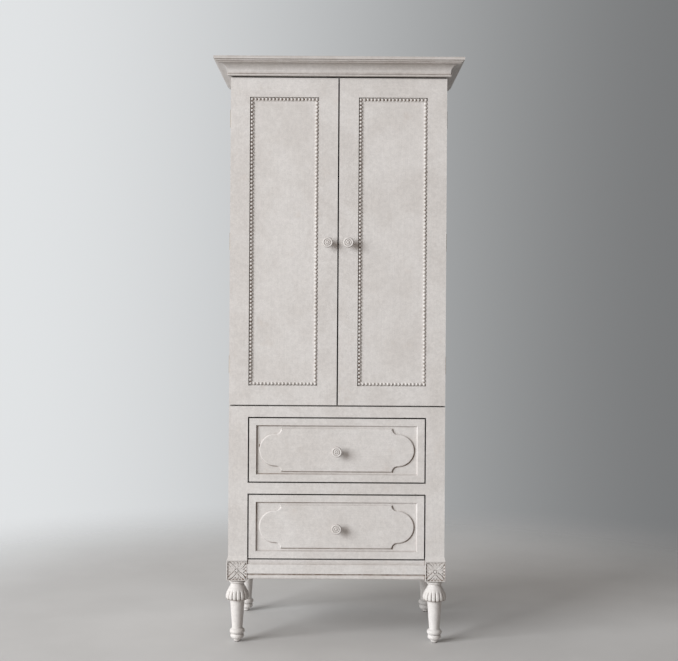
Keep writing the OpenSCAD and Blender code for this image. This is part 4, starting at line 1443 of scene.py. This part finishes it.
def key_light():
    lamp = bpy.data.lights.new("key", "AREA")
    lamp.shape = "SQUARE"
    lamp.size = KEY_SIZE
    lamp.energy = KEY_POWER
    lamp.color = KEY_COLOUR
    piece = bpy.data.objects.new("key", lamp)
    piece.location = KEY_AT
    piece.rotation_mode = "QUATERNION"
    piece.rotation_quaternion = (KEY_AIM - KEY_AT).to_track_quat("-Z", "Y")
    bpy.context.scene.collection.objects.link(piece)


WORLD_FRONT = rgb(0.300, 0.264, 0.236)
WORLD_BACK = rgb(0.520, 0.532, 0.540)
WORLD_DEPTH = (-0.6, 0.7)
FRONT_SPAN = (-0.45, 0.45)
FRONT_LEVELS = (1.32, 0.66)
BACK_SPAN = (-0.30, 0.30)
BACK_LEVELS = (1.46, 0.36)


def world_light():
    """A soft grey studio, paler behind the object and brighter towards the key light's side,
    where the change from side to side is greater behind the object."""
    world = bpy.data.worlds.new("studio")
    bpy.context.scene.world = world
    world.use_nodes = True
    tree = world.node_tree
    tree.nodes.clear()
    output = tree.nodes.new("ShaderNodeOutputWorld")
    background = tree.nodes.new("ShaderNodeBackground")
    coord = tree.nodes.new("ShaderNodeTexCoord")
    split = tree.nodes.new("ShaderNodeSeparateXYZ")
    tree.links.new(coord.outputs["Generated"], split.inputs[0])
    behind = sweep(tree, split.outputs["Y"], *WORLD_DEPTH, 0.0, 1.0)
    strength = tree.nodes.new("ShaderNodeMix")
    tree.links.new(behind, strength.inputs[0])
    tree.links.new(sweep(tree, split.outputs["X"], *FRONT_SPAN, *FRONT_LEVELS), strength.inputs[2])
    tree.links.new(sweep(tree, split.outputs["X"], *BACK_SPAN, *BACK_LEVELS), strength.inputs[3])
    mix = tree.nodes.new("ShaderNodeMix")
    mix.data_type = "RGBA"
    tree.links.new(behind, mix.inputs[0])
    mix.inputs[6].default_value = WORLD_FRONT
    mix.inputs[7].default_value = WORLD_BACK
    tree.links.new(mix.outputs[2], background.inputs["Color"])
    tree.links.new(strength.outputs[0], background.inputs["Strength"])
    tree.links.new(background.outputs[0], output.inputs[0])


CAMERA_AT = (0.0045, -4.3875, 1.1593)
LENS = 63.6
SENSOR = 36.0
FRAME_W = 678
SHIFT_PIXELS = -20
ROLL = 0.0062


def camera():
    data = bpy.data.cameras.new("camera")
    data.lens = LENS
    data.sensor_width = SENSOR
    data.sensor_fit = "HORIZONTAL"
    data.shift_y = SHIFT_PIXELS / FRAME_W
    piece = bpy.data.objects.new("camera", data)
    bpy.context.scene.collection.objects.link(piece)
    c, s = math.cos(ROLL), math.sin(ROLL)
    turn = Matrix(((c, -s, 0.0), (0.0, 0.0, -1.0), (s, c, 0.0)))
    piece.matrix_world = Matrix.Translation(CAMERA_AT) @ turn.to_4x4()
    bpy.context.scene.camera = piece


floor()
key_light()
world_light()
camera()
bpy.context.scene.view_settings.view_transform = "Standard"
bpy.context.scene.view_settings.look = "None"

bpy.context.view_layer.update()
